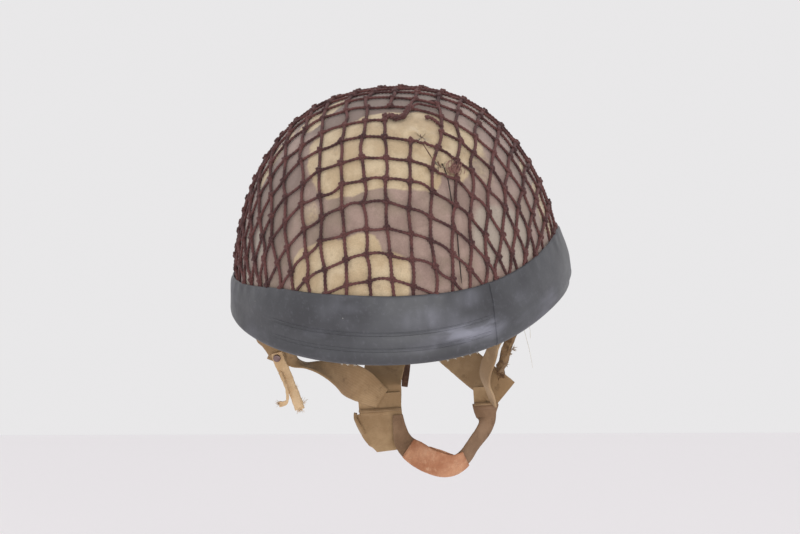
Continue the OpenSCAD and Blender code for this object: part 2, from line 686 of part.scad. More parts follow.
tail_y = tail_pivot[1] - layer;
module torn_strap_rivet() {
    front = tail_y - web_t / 2 - lie_gap;
    back = tail_pivot[1] + layer + web_t / 2 + lie_gap;
    color("silver") translate([tail_pivot[0], front, tail_pivot[2]]) rotate([-90, 0, 0]) union() {
        cylinder(h = back - front, r = rivet_r, $fn = 32);
        translate([0, 0, -rivet_head_t]) cylinder(h = rivet_head_t, r = rivet_head_r, $fn = 32);
        translate([0, 0, back - front]) cylinder(h = rivet_head_t, r = rivet_head_r, $fn = 32);
    }
}

tail_eye_r = 5.5;
torn_route = [
    [[tail_pivot[0] + 1, tail_y, tail_pivot[2] - 3], [0, -1, 0], 10],
    [hung_at(-94, tail_y, -42), [0, -1, 0], 10],
    [hung_at(-90, tail_y, -53), [0.2, -1, 0], 9.5],
    [hung_at(-86, tail_y - 1, -62), [0.1, -1, 0], 8.5],
    [hung_at(-84, tail_y - 2, -69), [-0.2, -1, 0], 6]];
strand_route = [
    [hung_at(-95, tail_y - layer + 0.2, -44), [0, -1, 0], 2.4],
    [hung_at(-92, tail_y - layer - 1, -53), [0.3, -1, 0], 2.2],
    [hung_at(-91, tail_y - layer - 1.5, -61), [0, -1, 0], 2],
    [hung_at(-93, tail_y - layer - 1.5, -67), [0, -1, 0], 2.2],
    [hung_at(-98, tail_y - layer - 1, -67.5), [0, -1, 0], 3]];

module torn_strap() {
    color("burlywood") difference() {
        union() {
            translate([tail_pivot[0], tail_y - web_t / 2, tail_pivot[2]]) rotate([-90, 0, 0])
                cylinder(h = web_t, r = tail_eye_r, $fn = 32);
            strap(torn_route);
        }
        tail_hole(rivet_r + 0.06);
    }
}

module torn_strand() {
    color("burlywood") strap(strand_route, 1.2);
}

frayed_route = [
    [hung(88, 16, -24), [-1, 0, 0], 5],
    [hung(82, 15, -33), [-1, 0, 0], 6],
    [hung(76, 26, -47), [-1, 0, 0], 6.5],
    [hung(74, 50, -64), [-1, -0.4, 0], 6.5],
    [hung_at(75, junction_y + 0.2, -69), [-0.5, -1, 0], 6],
    [hung_at(77, junction_y + 0.2, -82), [0, -1, 0], 6]];
module frayed_strap() {
    color("peru") strap(frayed_route, 3.4);
}

keeper_route = [
    [hung(-1.5, 100, -60), [0.2, -1, 0.4], 4],
    [hung(-3, 92, -68), [0.2, -1, 0.5], 5],
    [hung(-4.5, 82, -74), [0.2, -1, 0.4], 4]];
module leather_keeper() {
    color("maroon") strap(keeper_route, 2);
}

// The chin hinge: a strap end turned over on itself lies in a loop of web

hinge_roll_r = 2.5;
hinge_clear = 0.08;
loop_wall = 1.6;
loop_open_from = -190;
loop_open_to = -24;
left_loop_x = 60 * wide;
right_loop_x = -27 * wide;
left_loop_w = chin_w + 2;
right_loop_w = nape_right_w + 2;
web_rise = 28 * low;

module along_hinge(x, w) {
    translate([x - w / 2, chin_hinge_y, -chin_hinge_drop]) rotate([90, 0, 90]) children();
}

module junction_loop(x, w) {
    outer = hinge_roll_r + hinge_clear + loop_wall;
    reach = 2 * outer;
    mouth = concat([[0, 0]], [for (k = [0:4]) let (a = mix(loop_open_from, loop_open_to, k / 4))
        [reach * cos(a), reach * sin(a)]]);
    color("burlywood") union() {
        along_hinge(x, w) difference() {
            cylinder(h = w, r = outer, $fn = 32);
            translate([0, 0, -1]) cylinder(h = w + 2, r = hinge_roll_r + hinge_clear, $fn = 32);
            translate([0, 0, -1]) linear_extrude(w + 2) polygon(mouth);
        }
        foot = hinge_roll_r + hinge_clear + loop_wall / 2 - chin_hinge_drop;
        translate([x - w / 2, junction_y - web_t / 2, foot])
            cube([w, web_t, web_rise]);
    }
}

module left_junction_loop() { junction_loop(left_loop_x, left_loop_w); }
module right_junction_loop() { junction_loop(right_loop_x, right_loop_w); }

hinge_z = -chin_hinge_drop;
chin_web_w = nape_right_w;
chin_web_route = [
    [[right_loop_x, chin_hinge_y, hinge_z - 1], [0, -1, 0], chin_web_w],
    [[right_loop_x + wide, chin_hinge_y, hinge_z - 12 * low], [0, -1, 0], chin_web_w],
    [hung(-24, 67, -122), [0, -0.96, 0.28], chin_web_w],
    [hung(-21, 64, -133), [0, -0.96, 0.28], chin_web_w - 3]];

// The chin strap runs from the left hinge through the cup and lies on the chin web's face
chin_strap_route = [
    [[left_loop_x, chin_hinge_y, hinge_z - 1], [0, -1, 0], chin_w],
    [[left_loop_x, chin_hinge_y, hinge_z - 12 * low], [0, -1, 0], chin_w],
    [hung(54, 65, -123), [0.5, -0.9, 0], chin_w],
    [hung(46, 57, -133), [0.5, -0.8, -0.3], chin_w],
    [hung(36, 48, -137), [0.3, -0.8, -0.5], chin_w],
    [hung(26, 44, -135), [0, -0.85, -0.5], chin_w],
    [hung(13, 46, -131), [0, -0.9, -0.3], chin_w],
    [hung(2, 54, -127), [0, -0.95, 0], chin_w],
    [hung(-8, 63.4, -125), [0, -0.96, 0.28], chin_w - 2],
    [hung(-17, 63.4, -124.5), [0, -0.96, 0.28], chin_w - 3],
    [hung(-26, 63.4, -124.5), [0, -0.96, 0.28], chin_w - 5]];
chin_line = strap_line(chin_strap_route, 2 * strap_steps);
cup_from = 22;
cup_to = 62;
function cup_width(k) = let (u = (k - cup_from) / (cup_to - cup_from)) chin_w + (cup_w - chin_w) * sin(180 * u);
function cup_line(from, to, narrower) = [for (k = [from:to])
    [chin_line[k][0], chin_line[k][1], cup_width(k) - narrower]];

module chin_strap() {
    color("burlywood") union() {
        along_hinge(left_loop_x, chin_w) cylinder(h = chin_w, r = hinge_roll_r, $fn = 32);
        strap_on(chin_line, leather_t, 0);
    }
}

module chin_web() {
    color("burlywood") union() {
        along_hinge(right_loop_x, chin_web_w) cylinder(h = chin_web_w, r = hinge_roll_r, $fn = 32);
        strap(chin_web_route);
    }
}

module chin_cup() {
    color("chocolate") strap_on(cup_line(cup_from, cup_to, 0), leather_t, leather_t + 1.5 * lie_gap);
}

module chin_cup_lining() {
    color("tan") strap_on(cup_line(cup_from + 6, cup_to - 14, 3), leather_t, -leather_t - 1.5 * lie_gap);
}

steel_shell();
cloth_cover();
camouflage_net();
rubber_band();
headband_frame();
sweatband();
sweatband_lace();
front_pad();
front_left_pad();
front_right_pad();
rear_left_pad();
rear_right_pad();
crown_pad();
crown_tape_long();
crown_tape_cross();
harness_bolts();
harness_spacers();
harness_nuts();
strap_rivets();
left_hanger();
right_hanger();
rear_hanger();
right_hanger_web();
left_side_strap();
right_side_strap();
left_nape_strap();
right_nape_strap();
left_junction_loop();
right_junction_loop();
frayed_strap();
leather_keeper();
chin_strap();
chin_web();
chin_cup();
chin_cup_lining();
torn_strap_rivet();
torn_strap();
torn_strand();
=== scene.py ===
"""Looks of a paratrooper helmet: cloth cover, string net, rubber band, liner and chin harness.

All places are in the helmet's own frame: +Z is up, the brow is at -Y and the wearer's left
is at +X. Sizes are in millimetres and meshes in metres.
"""

import logging
import random
from collections.abc import Callable
from dataclasses import dataclass, field
from enum import Enum
from functools import partial
from math import acos, atan2, cos, degrees, exp, hypot, pi, radians, sin, sqrt

import bpy
from mathutils import Matrix, Vector, noise
from mathutils.kdtree import KDTree

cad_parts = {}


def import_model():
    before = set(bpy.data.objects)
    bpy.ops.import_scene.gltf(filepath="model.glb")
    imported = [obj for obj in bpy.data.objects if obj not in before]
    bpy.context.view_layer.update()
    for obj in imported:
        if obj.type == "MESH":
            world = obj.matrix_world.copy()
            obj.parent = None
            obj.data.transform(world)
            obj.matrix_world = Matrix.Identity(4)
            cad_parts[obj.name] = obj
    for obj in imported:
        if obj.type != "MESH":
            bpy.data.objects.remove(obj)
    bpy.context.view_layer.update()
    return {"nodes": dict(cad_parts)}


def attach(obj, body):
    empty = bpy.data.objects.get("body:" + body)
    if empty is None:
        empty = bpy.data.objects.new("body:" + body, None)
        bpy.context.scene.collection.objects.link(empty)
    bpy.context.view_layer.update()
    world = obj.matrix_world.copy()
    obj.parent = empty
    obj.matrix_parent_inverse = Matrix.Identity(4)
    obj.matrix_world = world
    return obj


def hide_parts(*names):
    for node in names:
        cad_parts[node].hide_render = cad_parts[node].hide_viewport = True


log = logging.getLogger("helmet")

MM = 0.001
Color = tuple[int, int, int]
Point = tuple[float, float, float]
Route = tuple[tuple[float, ...], ...]
Smudges = tuple[tuple[Point, float, float, float], ...]
Line = list[tuple[Vector, Vector, float]]
Trail = tuple[tuple[float, float], ...]
Piece = bpy.types.Object
Material = bpy.types.Material
Socket = bpy.types.NodeSocket
Value = Socket | float | Color | Point | Vector


# Small helpers


def paint(color: Value) -> Value:
    """Turn a display colour into the linear colour that a shader takes.

    Args:
        color: Red, green and blue from 0 to 255, or a socket, which stays as it is.

    Returns:
        Linear red, green, blue and full cover, or the socket.
    """
    if isinstance(color, Socket):
        return color
    shares = [part / 255 for part in color]
    return (*(s / 12.92 if s <= 0.04045 else ((s + 0.055) / 1.055) ** 2.4 for s in shares), 1.0)


def mix(first: Vector | float, second: Vector | float, share: float) -> Vector | float:
    """Return the value a share of the way from the first to the second."""
    return first + (second - first) * share


def ease(value: float, low: float, high: float) -> float:
    """Return 0 below low, 1 above high and a smooth rise between them."""
    share = min(1.0, max(0.0, (value - low) / (high - low)))
    return share * share * (3 - 2 * share)


def hump(distance: float, reach: float) -> float:
    """Return 1 at no distance, falling smoothly to nearly 0 past the reach."""
    return exp(-((distance / reach) ** 2))


def choose(*pieces: Piece) -> None:
    """Leave nothing selected but some pieces, the first of them active.

    Args:
        pieces: The pieces that the next operator acts on.
    """
    for thing in bpy.context.selected_objects:
        thing.select_set(False)
    for piece in reversed(pieces):
        piece.select_set(True)
        bpy.context.view_layer.objects.active = piece


# Meshes made of rings


@dataclass
class Skin:
    """Points, faces and UVs of one mesh, gathered strip by strip.

    The UV map runs along the piece in V and across or round it in U, both in metres.
    """

    points: list[Vector] = field(default_factory=list)
    faces: list[tuple[int, ...]] = field(default_factory=list)
    corners: list[list[tuple[float, float]]] = field(default_factory=list)

    def sweep(self, rings: list[list[Vector]], closed: bool = False) -> "Skin":
        """Join rings of points, in millimetres, into a tube.

        Args:
            rings: The rings, turning left as seen from the tube's end.
            closed: Whether the last ring is joined to the first. If not, both ends are capped.

        Returns:
            This mesh.
        """
        base = len(self.points)
        count = len(rings[0])
        along = [0.0]
        for ring, following in zip(rings, rings[1:] + rings[:1]):
            middle = sum(ring, Vector()) / count
            next_middle = sum(following, Vector()) / count
            along.append(along[-1] + (next_middle - middle).length * MM)
        around = [0.0]
        for k in range(count):
            around.append(around[-1] + (rings[0][(k + 1) % count] - rings[0][k]).length * MM)
        for ring in rings:
            self.points.extend(point * MM for point in ring)
        for r in range(len(rings) if closed else len(rings) - 1):
            low, high = base + r * count, base + (r + 1) % len(rings) * count
            for k in range(count):
                m = (k + 1) % count
                self.faces.append((low + k, low + m, high + m, high + k))
                spots = ((k, r), (k + 1, r), (k + 1, r + 1), (k, r + 1))
                self.corners.append([(around[x], along[y]) for x, y in spots])
        if not closed:
            last = base + (len(rings) - 1) * count
            ends = ((base, along[0], range(count)[::-1]), (last, along[-2], range(count)))
            for first, run, order in ends:
                self.faces.append(tuple(first + k for k in order))
                self.corners.append([(around[k], run) for k in order])
        return self

    def thread(self, path: list[Vector], up: Point, radius: float | list[float], count: int,
               flat: float = 1.0) -> None:
        """Sweep a round or flattened thread along a path.

        Args:
            path: Points of its middle, in millimetres.
            up: The way that its first section leans.
            radius: Its radius, or one radius a point.
            count: Points round it.
            flat: Its height as a share of its width.
        """
        radii = radius if isinstance(radius, list) else [radius] * len(path)
        frames = line_frames(path, Vector(up))
        self.sweep([round_ring(point, side, out * flat, thick, count)
                    for point, thick, (side, out) in zip(path, radii, frames)])

    def piece(self, name: str, crease: float | None = None) -> Piece:
        """Make the mesh an object of the scene.

        Args:
            name: Its name.
            crease: Degrees past which an edge is shaded sharp, if any is.

        Returns:
            The new object.
        """
        mesh = bpy.data.meshes.new(name)
        mesh.from_pydata(self.points, [], self.faces)
        layer = mesh.uv_layers.new(name="along")
        flat = [value for face in self.corners for corner in face for value in corner]
        layer.data.foreach_set("uv", flat)
        mesh.polygons.foreach_set("use_smooth", [True] * len(mesh.polygons))
        mesh.validate()
        thing = bpy.data.objects.new(name, mesh)
        bpy.context.scene.collection.objects.link(thing)
        choose(thing)
        bpy.ops.object.mode_set(mode="EDIT")
        bpy.ops.mesh.select_all(action="SELECT")
        bpy.ops.mesh.normals_make_consistent(inside=False)
        bpy.ops.object.mode_set(mode="OBJECT")
        if crease is not None:
            bpy.ops.object.shade_smooth_by_angle(angle=radians(crease))
        return thing


def round_ring(middle: Vector, side: Vector, out: Vector, radius: float, count: int) -> list[Vector]:
    """Return a ring of points round a middle, turning from side towards out."""
    return [middle + side * (radius * cos(2 * pi * k / count))
            + out * (radius * sin(2 * pi * k / count)) for k in range(count)]


def line_frames(path: list[Vector], up: Vector) -> list[tuple[Vector, Vector]]:
    """Carry a side and an out direction along a path without twisting them.

    Args:
        path: Points of the path.
        up: The way that the first of them leans.

    Returns:
        One pair a point, both square to the path.
    """
    frames = []
    out = up
    for k in range(len(path)):
        ahead = (path[min(k + 1, len(path) - 1)] - path[max(k - 1, 0)]).normalized()
        out = (out - ahead * out.dot(ahead)).normalized()
        frames.append((out.cross(ahead), out))
    return frames


def smooth_path(points: list[Vector], steps: int) -> list[Vector]:
    """Draw a smooth curve through points.

    Args:
        points: The points, in order.
        steps: Number of steps between each two.

    Returns:
        Points along the curve.
    """
    path = []
    for k in range(len(points) - 1):
        a = points[max(0, k - 1)]
        b, c = points[k], points[k + 1]
        d = points[min(len(points) - 1, k + 2)]
        for s in range(steps):
            t = s / steps
            path.append(0.5 * (2 * b + (c - a) * t + (2 * a - 5 * b + 4 * c - d) * t * t
                               + (3 * b - a - 3 * c + d) * t ** 3))
    path.append(points[-1])
    return path


# Finishes


class Look:
    """The nodes of one material, added step by step."""

    def __init__(self, name: str, roughness: float, metallic: float = 0.0, sheen: float = 0.0) -> None:
        """Start a material from its shader's plain values.

        Args:
            name: Its name.
            roughness: How dull it is.
            metallic: 1 for bare metal, else 0.
            sheen: Share of soft light at its edges.
        """
        self.material = bpy.data.materials.new(name)
        self.material.use_nodes = True
        self.nodes = self.material.node_tree.nodes
        self.shader = self.nodes["Principled BSDF"]
        plain = {"Roughness": roughness, "Metallic": metallic, "Sheen Weight": sheen, "Sheen Roughness": 0.6}
        for socket, value in plain.items():
            self.shader.inputs[socket].default_value = value
        coordinates = self.nodes.new("ShaderNodeTexCoord")
        self.place = coordinates.outputs["Object"]
        self.along = coordinates.outputs["UV"]
        self.height: Socket | None = None
        self.color: Value = (0, 0, 0)

    def link(self, source: Value, target: Socket) -> None:
        """Lead a socket to an input, or set the input to a plain value.

        Args:
            source: The socket or the value.
            target: The input.
        """
        if isinstance(source, Socket):
            self.material.node_tree.links.new(source, target)
        else:
            target.default_value = source

    def node(self, kind: str, inputs: dict[str | int, Value], **settings: str) -> bpy.types.Node:
        """Add a node and fill its inputs.

        Args:
            kind: The last part of its type.
            inputs: The value of each input, by name or number.
            settings: Its settings.

        Returns:
            The node.
        """
        made = self.nodes.new("ShaderNode" + kind)
        for name, value in settings.items():
            setattr(made, name, value)
        for name, value in inputs.items():
            self.link(value, made.inputs[name])
        return made

    def stretched(self, vector: Socket, scale: Point, turn: float = 0.0) -> Socket:
        """Return coordinates scaled, and turned about Z by a number of degrees."""
        turned = (0.0, 0.0, radians(turn))
        return self.node("Mapping", {"Scale": scale, "Rotation": turned, "Vector": vector}).outputs["Vector"]

    def noise(self, scale: float, detail: float = 3.0, roughness: float = 0.5,
              vector: Socket | None = None) -> Socket:
        """Return noise from 0 to 1, at so many waves a metre of the piece or of another map."""
        inputs = {"Vector": vector or self.place, "Scale": scale, "Detail": detail, "Roughness": roughness}
        return self.node("TexNoise", inputs).outputs["Fac"]

    def grain(self, scales: Point, turn: float, detail: float, roughness: float = 0.5) -> Socket:
        """Return noise drawn out along the UV map, turned by a number of degrees."""
        return self.noise(1.0, detail, roughness, self.stretched(self.along, scales, turn))

    def patches(self, waves: tuple[float, ...], *limits: float) -> Socket:
        """Return noise of a scale, a detail and a roughness, ramped between limits."""
        return self.ramp(self.noise(*waves), *limits)

    def ribs(self, scale: float, direction: str, distortion: float = 0.0, turn: float = 0.0) -> Socket:
        """Draw even stripes along an axis of the UV map.

        Args:
            scale: A third of the stripes a metre.
            direction: The axis, X or Y.
            distortion: How far the stripes wander.
            turn: Degrees that they are turned by.

        Returns:
            Their height, from 0 to 1.
        """
        vector = self.stretched(self.along, (1, 1, 1), turn) if turn else self.along
        inputs = {"Vector": vector, "Scale": scale, "Distortion": distortion, "Detail": 1.0}
        return self.node("TexWave", inputs, bands_direction=direction).outputs["Fac"]

    def pores(self, scale: float) -> Socket:
        """Return the distance to the nearest edge in a pattern of cells."""
        inputs = {"Vector": self.place, "Scale": scale}
        return self.node("TexVoronoi", inputs, feature="DISTANCE_TO_EDGE").outputs["Distance"]

    def attribute(self, name: str) -> Socket:
        """Return a value that is kept on the mesh's points."""
        return self.node("Attribute", {}, attribute_name=name).outputs["Fac"]

    def math(self, operation: str, *values: Value) -> Socket:
        """Return the result of a sum on one, two or three values."""
        return self.node("Math", dict(enumerate(values)), operation=operation).outputs[0]

    def times(self, first: Value, second: Value) -> Socket:
        """Return the product of two values."""
        return self.math("MULTIPLY", first, second)

    def ramp(self, value: Value, low: float, high: float, start: float = 0.0, end: float = 1.0) -> Socket:
        """Return a value stretched smoothly from a low and a high limit to a start and an end."""
        limits = {"Value": value, "From Min": low, "From Max": high, "To Min": start, "To Max": end}
        return self.node("MapRange", limits, interpolation_type="SMOOTHSTEP").outputs["Result"]

    def blend(self, amount: Value, first: Value, second: Value, mode: str = "MIX") -> Socket:
        """Return two colours blended by an amount."""
        inputs = {0: amount, 6: paint(first), 7: paint(second)}
        return self.node("Mix", inputs, data_type="RGBA", blend_type=mode).outputs[2]

    def tint(self, amount: Value, shade: Value) -> None:
        """Blend a shade into the colour so far."""
        self.color = self.blend(amount, self.color, shade)

    def raise_by(self, height: Socket, distance: float, strength: float = 1.0) -> None:
        """Add a bump of so many millimetres on top of those already there.

        Args:
            height: The bump's pattern, from 0 to 1.
            distance: Its height.
            strength: Share of it that shows.
        """
        inputs = {"Strength": strength, "Distance": distance * MM, "Height": height}
        if self.height is not None:
            inputs["Normal"] = self.height
        self.height = self.node("Bump", inputs).outputs["Normal"]

    def apart(self, middle: Point) -> Socket:
        """Return the way from a place, in millimetres, to each point of the piece."""
        values = {0: self.place, 1: Vector(middle) * MM}
        return self.node("VectorMath", values, operation="SUBTRACT").outputs[0]

    def length(self, vector: Socket) -> Socket:
        """Return the length of a vector."""
        return self.node("VectorMath", {0: vector}, operation="LENGTH").outputs["Value"]

    def spot(self, middle: Point, width: float, height: float) -> Socket:
        """Return a soft round patch on the front, from its middle and its half width and height."""
        shares = (1 / (width * MM), 1 / (width * MM), 1 / (height * MM))
        return self.ramp(self.length(self.stretched(self.apart(middle), shares, 6.0)), 0.35, 1.0, 1.0, 0.0)

    def pinch(self, middle: Point, folds: float, reach: float) -> Socket:
        """Return creases that run out from a pinched place on the front of the dome.

        Args:
            middle: The pinched place.
            folds: Number of creases round it.
            reach: How far they run.

        Returns:
            1 in a crease and 0 away from them.
        """
        apart = self.apart(middle)
        ways = self.node("SeparateXYZ", {0: apart}).outputs
        angle = self.math("ARCTAN2", ways["Z"], ways["X"])
        bend = self.times(self.noise(90, 2), 3.0)
        wave = self.math("SINE", self.math("ADD", self.times(angle, folds), bend))
        near = self.ramp(self.length(apart), 1.5 * MM, reach * MM, 1.0, 0.0)
        return self.times(self.ramp(wave, 0.0, 1.0), near)

    def finish(self, roughness: Socket | None = None) -> Material:
        """Join colour, roughness and bumps to the shader.

        Args:
            roughness: How dull it is, where that varies.

        Returns:
            The material.
        """
        for socket, source in (("Base Color", self.color), ("Roughness", roughness), ("Normal", self.height)):
            if source is not None:
                self.link(source, self.shader.inputs[socket])
        return self.material


COVER_PINCHES: tuple[Point, Point] = ((26.7, -79.9, 139.7), (37.5, -95.0, 121.5))


@dataclass(frozen=True)
class CamouflageCloth:
    """Closely woven cotton with soft khaki and mauve patches that fade into each other."""

    khaki: Color = (184, 161, 128)
    khaki_pale: Color = (202, 182, 150)
    mauve: Color = (160, 136, 125)
    mauve_dark: Color = (140, 117, 107)
    green: Color = (172, 161, 147)
    olive: Color = (136, 120, 102)
    brown: Color = (112, 93, 84)
    stain_and_crease_shade: Color = (88, 68, 58)

    def material(self) -> Material:
        """Make the finish.

        Returns:
            The material.
        """
        look = Look("camouflage_cloth", roughness=0.92, sheen=0.25)
        mottle = look.noise(55, 5, 0.6)
        fine = look.noise(420, 4, 0.6)
        light = look.blend(look.ramp(mottle, 0.4, 0.65), self.khaki, self.khaki_pale)
        dark = look.blend(look.ramp(mottle, 0.35, 0.62), self.mauve_dark, self.mauve)
        dark = look.blend(look.patches((34, 4, 0.6), 0.46, 0.66, 0.0, 0.55), dark, self.olive)
        dark = look.blend(look.times(look.attribute("brown"), 0.75), dark, self.brown)
        mixed = look.blend(look.ramp(look.attribute("green"), 0.1, 0.9, 0.0, 0.7), dark, self.green)
        feather = look.times(look.math("SUBTRACT", fine, 0.5), 0.3)
        edge = look.math("ADD", look.attribute("khaki"), feather)
        look.color = look.blend(look.ramp(edge, 0.34, 0.66), mixed, light)
        look.tint(look.patches((130, 6, 0.7), 0.52, 0.75, 0.0, 0.3), self.stain_and_crease_shade)
        look.tint(look.times(look.attribute("seam"), 0.3), self.stain_and_crease_shade)
        # Painted shade in the creases round the two pinches, next to their bumps
        for middle, folds in ((COVER_PINCHES[0], 2.0), (COVER_PINCHES[1], 3.0)):
            crease = look.pinch(middle, folds, 10.0)
            look.tint(look.times(crease, 0.22), self.stain_and_crease_shade)
            look.raise_by(crease, -2.4, 1.0)
        speckle = look.patches((1500, 2), 0.35, 0.65, 0.9, 1.08)
        look.color = look.blend(1.0, look.color, speckle, "MULTIPLY")
        weft = look.ribs(520, "X", 0.4)
        warp = look.ribs(520, "Y", 0.4)
        look.raise_by(look.math("ADD", weft, warp), 0.05, 0.6)
        look.raise_by(look.noise(160, 4), 0.5, 0.5)
        return look.finish()


@dataclass(frozen=True)
class NetString:
    """Twisted string, dyed dark reddish brown and worn paler on its high sides."""

    name: str = "net_string"
    deep: Color = (60, 29, 29)
    plain: Color = (95, 55, 52)
    faded: Color = (136, 90, 86)

    def material(self) -> Material:
        """Make the finish.

        Returns:
            The material.
        """
        look = Look(self.name, roughness=0.9, sheen=0.08)
        patchy = look.noise(90, 4)
        look.color = look.blend(look.ramp(patchy, 0.35, 0.6), self.deep, self.plain)
        fibre = look.grain((900, 2400, 1), 32, 3)
        look.tint(look.ramp(fibre, 0.5, 0.8, 0.0, 0.65), self.faded)
        look.raise_by(look.ribs(260, "Y", turn=38), 0.3, 0.7)
        look.raise_by(fibre, 0.12, 0.8)
        return look.finish()


@dataclass(frozen=True)
class BandRubber:
    """Old inner-tube rubber, blue-grey, smudged with dust and rubbed shiny in places, with painted highlights
    in the smears and painted shade along the lower rim.
    """

    deep: Color = (56, 56, 60)
    plain: Color = (76, 77, 81)
    dusty: Color = (121, 121, 131)
    smear_dust_and_highlight: Color = (139, 140, 152)
    speck: Color = (206, 202, 196)
    # Pale smears, partly dust and partly painted highlight: each a middle, a half width, a half height and a
    # strength
    rubbed: Smudges = (
        ((23, -131, 28), 30, 12, 0.8), ((50, -126, 17), 34, 12, 0.9), ((50, -126, 37), 18, 9, 0.6),
        ((-48, -124, 21), 16, 7, 0.6), ((-24, -131, 38), 18, 6, 0.4), ((82, -95, 30), 18, 10, 0.45))
    # Painted shade: darker patches along the band's lower rim, at the front and at the wearer's right
    lower_rim_shade: Smudges = (
        ((0, -133, 2), 90, 7, 0.6), ((-62, -112, 8), 40, 8, 0.5))

    def material(self) -> Material:
        """Make the finish.

        Returns:
            The material.
        """
        look = Look("band_rubber", roughness=0.5)
        smear = look.grain((34, 11, 1), 12, 4, 0.55)
        cloud = look.noise(24, 3, 0.5)
        look.color = look.blend(look.ramp(cloud, 0.25, 0.7), self.deep, self.plain)
        dust = look.times(look.ramp(smear, 0.47, 0.66), look.ramp(cloud, 0.36, 0.56))
        look.tint(look.times(dust, 0.6), self.dusty)
        streak = look.grain((110, 34, 1), 25, 4, 0.6)
        uneven = look.times(look.ramp(smear, 0.34, 0.56), look.ramp(streak, 0.38, 0.6, 0.3))
        # Paler dusty smears that also paint a highlight on the band's front
        for middle, width, height, share in self.rubbed:
            smear_and_highlight = look.times(look.spot(middle, width, height), uneven)
            look.tint(look.times(smear_and_highlight, share), self.smear_dust_and_highlight)
        # Painted shade along the lower rim, blended towards the deep rubber colour
        for middle, width, height, share in self.lower_rim_shade:
            shade = look.times(look.spot(middle, width, height), share)
            look.tint(shade, self.deep)
        look.tint(look.patches((300, 5, 0.7), 0.5, 0.8, 0.0, 0.25), self.dusty)
        fleck = look.patches((520, 2, 0.4), 0.765, 0.785)
        patch = look.patches((36, 2), 0.6, 0.66)
        look.tint(look.times(fleck, patch), self.speck)
        shine = look.ramp(smear, 0.35, 0.7, 0.42, 0.62)
        scuff = look.grain((500, 90, 1), 25, 4, 0.6)
        look.raise_by(look.ramp(scuff, 0.45, 0.6), 0.05, 0.35)
        look.raise_by(look.noise(60, 3), 0.9, 0.5)
        return look.finish(shine)


class Weave(Enum):
    """How a strap is woven, with its ribs a metre along and across."""

    WEB = (330.0, 210.0)
    TAPE = (420.0, 420.0)
    LACE = (500.0, 300.0)


@dataclass(frozen=True)
class WovenCotton:
    """Thick cotton web or tape, darker in the hollows of its weave, with patches of dirt and a rubbed, paler
    face.
    """

    name: str
    plain: Color
    pale: Color
    dirt: Color
    weave: Weave = Weave.WEB

    def material(self) -> Material:
        """Make the finish.

        Returns:
            The material.
        """
        look = Look(self.name, roughness=0.93, sheen=0.08)
        across, along = self.weave.value
        warp = look.ribs(across, "X", 0.6)
        weft = look.ribs(along, "Y", 0.8)
        cloth = look.times(warp, look.math("MULTIPLY_ADD", weft, 0.6, 0.4))
        soil = look.noise(45, 5, 0.6)
        look.color = look.blend(look.ramp(soil, 0.4, 0.68), self.plain, self.pale)
        # Darker in the hollows of the weave
        look.tint(look.ramp(cloth, 0.0, 0.5, 0.12, 0.0), self.dirt)
        look.tint(look.patches((110, 6, 0.7), 0.55, 0.72, 0.0, 0.55), self.dirt)
        fuzz = look.grain((2600, 700, 1), 0, 3)
        look.tint(look.ramp(fuzz, 0.52, 0.8, 0.0, 0.4), self.pale)
        look.raise_by(cloth, 0.1, 0.6)
        look.raise_by(fuzz, 0.12, 0.6)
        return look.finish()


@dataclass(frozen=True)
class WornLeather:
    """Leather with grain, creases, dark handled places and a rubbed, paler top."""

    name: str
    plain: Color
    pale: Color
    dark: Color
    roughness: float = 0.55
    grain: float = 700.0

    def material(self) -> Material:
        """Make the finish.

        Returns:
            The material.
        """
        look = Look(self.name, roughness=self.roughness)
        tone = look.noise(60, 5, 0.6)
        look.color = look.blend(look.ramp(tone, 0.35, 0.66), self.dark, self.plain)
        look.tint(look.patches((190, 4, 0.6), 0.5, 0.72, 0.0, 0.6), self.pale)
        pores = look.pores(self.grain)
        look.tint(look.ramp(pores, 0.0, 0.12, 0.35, 0.0), self.dark)
        crease = look.grain((90, 600, 1), 4, 4, 0.6)
        look.raise_by(look.ramp(crease, 0.4, 0.6), 0.25, 0.6)
        look.raise_by(look.ramp(pores, 0.0, 0.3), 0.15, 0.6)
        shine = look.ramp(tone, 0.3, 0.7, self.roughness + 0.12, self.roughness - 0.08)
        return look.finish(shine)


@dataclass(frozen=True)
class WornMetal:
    """Metal with a plain coat or tarnish, rust in patches and a fine brushed grain."""

    name: str
    plain: Color
    dull: Color
    rust: Color
    roughness: float = 0.45
    metallic: float = 1.0
    grit: float = 0.02

    def material(self) -> Material:
        """Make the finish.

        Returns:
            The material.
        """
        look = Look(self.name, roughness=self.roughness, metallic=self.metallic)
        tone = look.noise(110, 5, 0.6)
        look.color = look.blend(look.ramp(tone, 0.4, 0.66), self.plain, self.dull)
        spots = look.patches((260, 6, 0.7), 0.58, 0.7, 0.0, 0.8)
        look.tint(spots, self.rust)
        look.raise_by(look.noise(1800, 3, 0.7), self.grit * 10, 0.6)
        shine = look.ramp(spots, 0.0, 0.8, self.roughness, min(0.95, self.roughness + 0.35))
        return look.finish(shine)


@dataclass(frozen=True)
class SpongeRubber:
    """Dark sponge rubber with open pores."""

    name: str = "pad_rubber"
    plain: Color = (66, 62, 58)
    pale: Color = (92, 86, 78)

    def material(self) -> Material:
        """Make the finish.

        Returns:
            The material.
        """
        look = Look(self.name, roughness=0.88)
        tone = look.noise(70, 4)
        look.color = look.blend(look.ramp(tone, 0.4, 0.65), self.plain, self.pale)
        pores = look.pores(900)
        look.raise_by(look.ramp(pores, 0.0, 0.3), 0.3, 0.8)
        look.raise_by(tone, 0.8, 0.4)
        return look.finish()


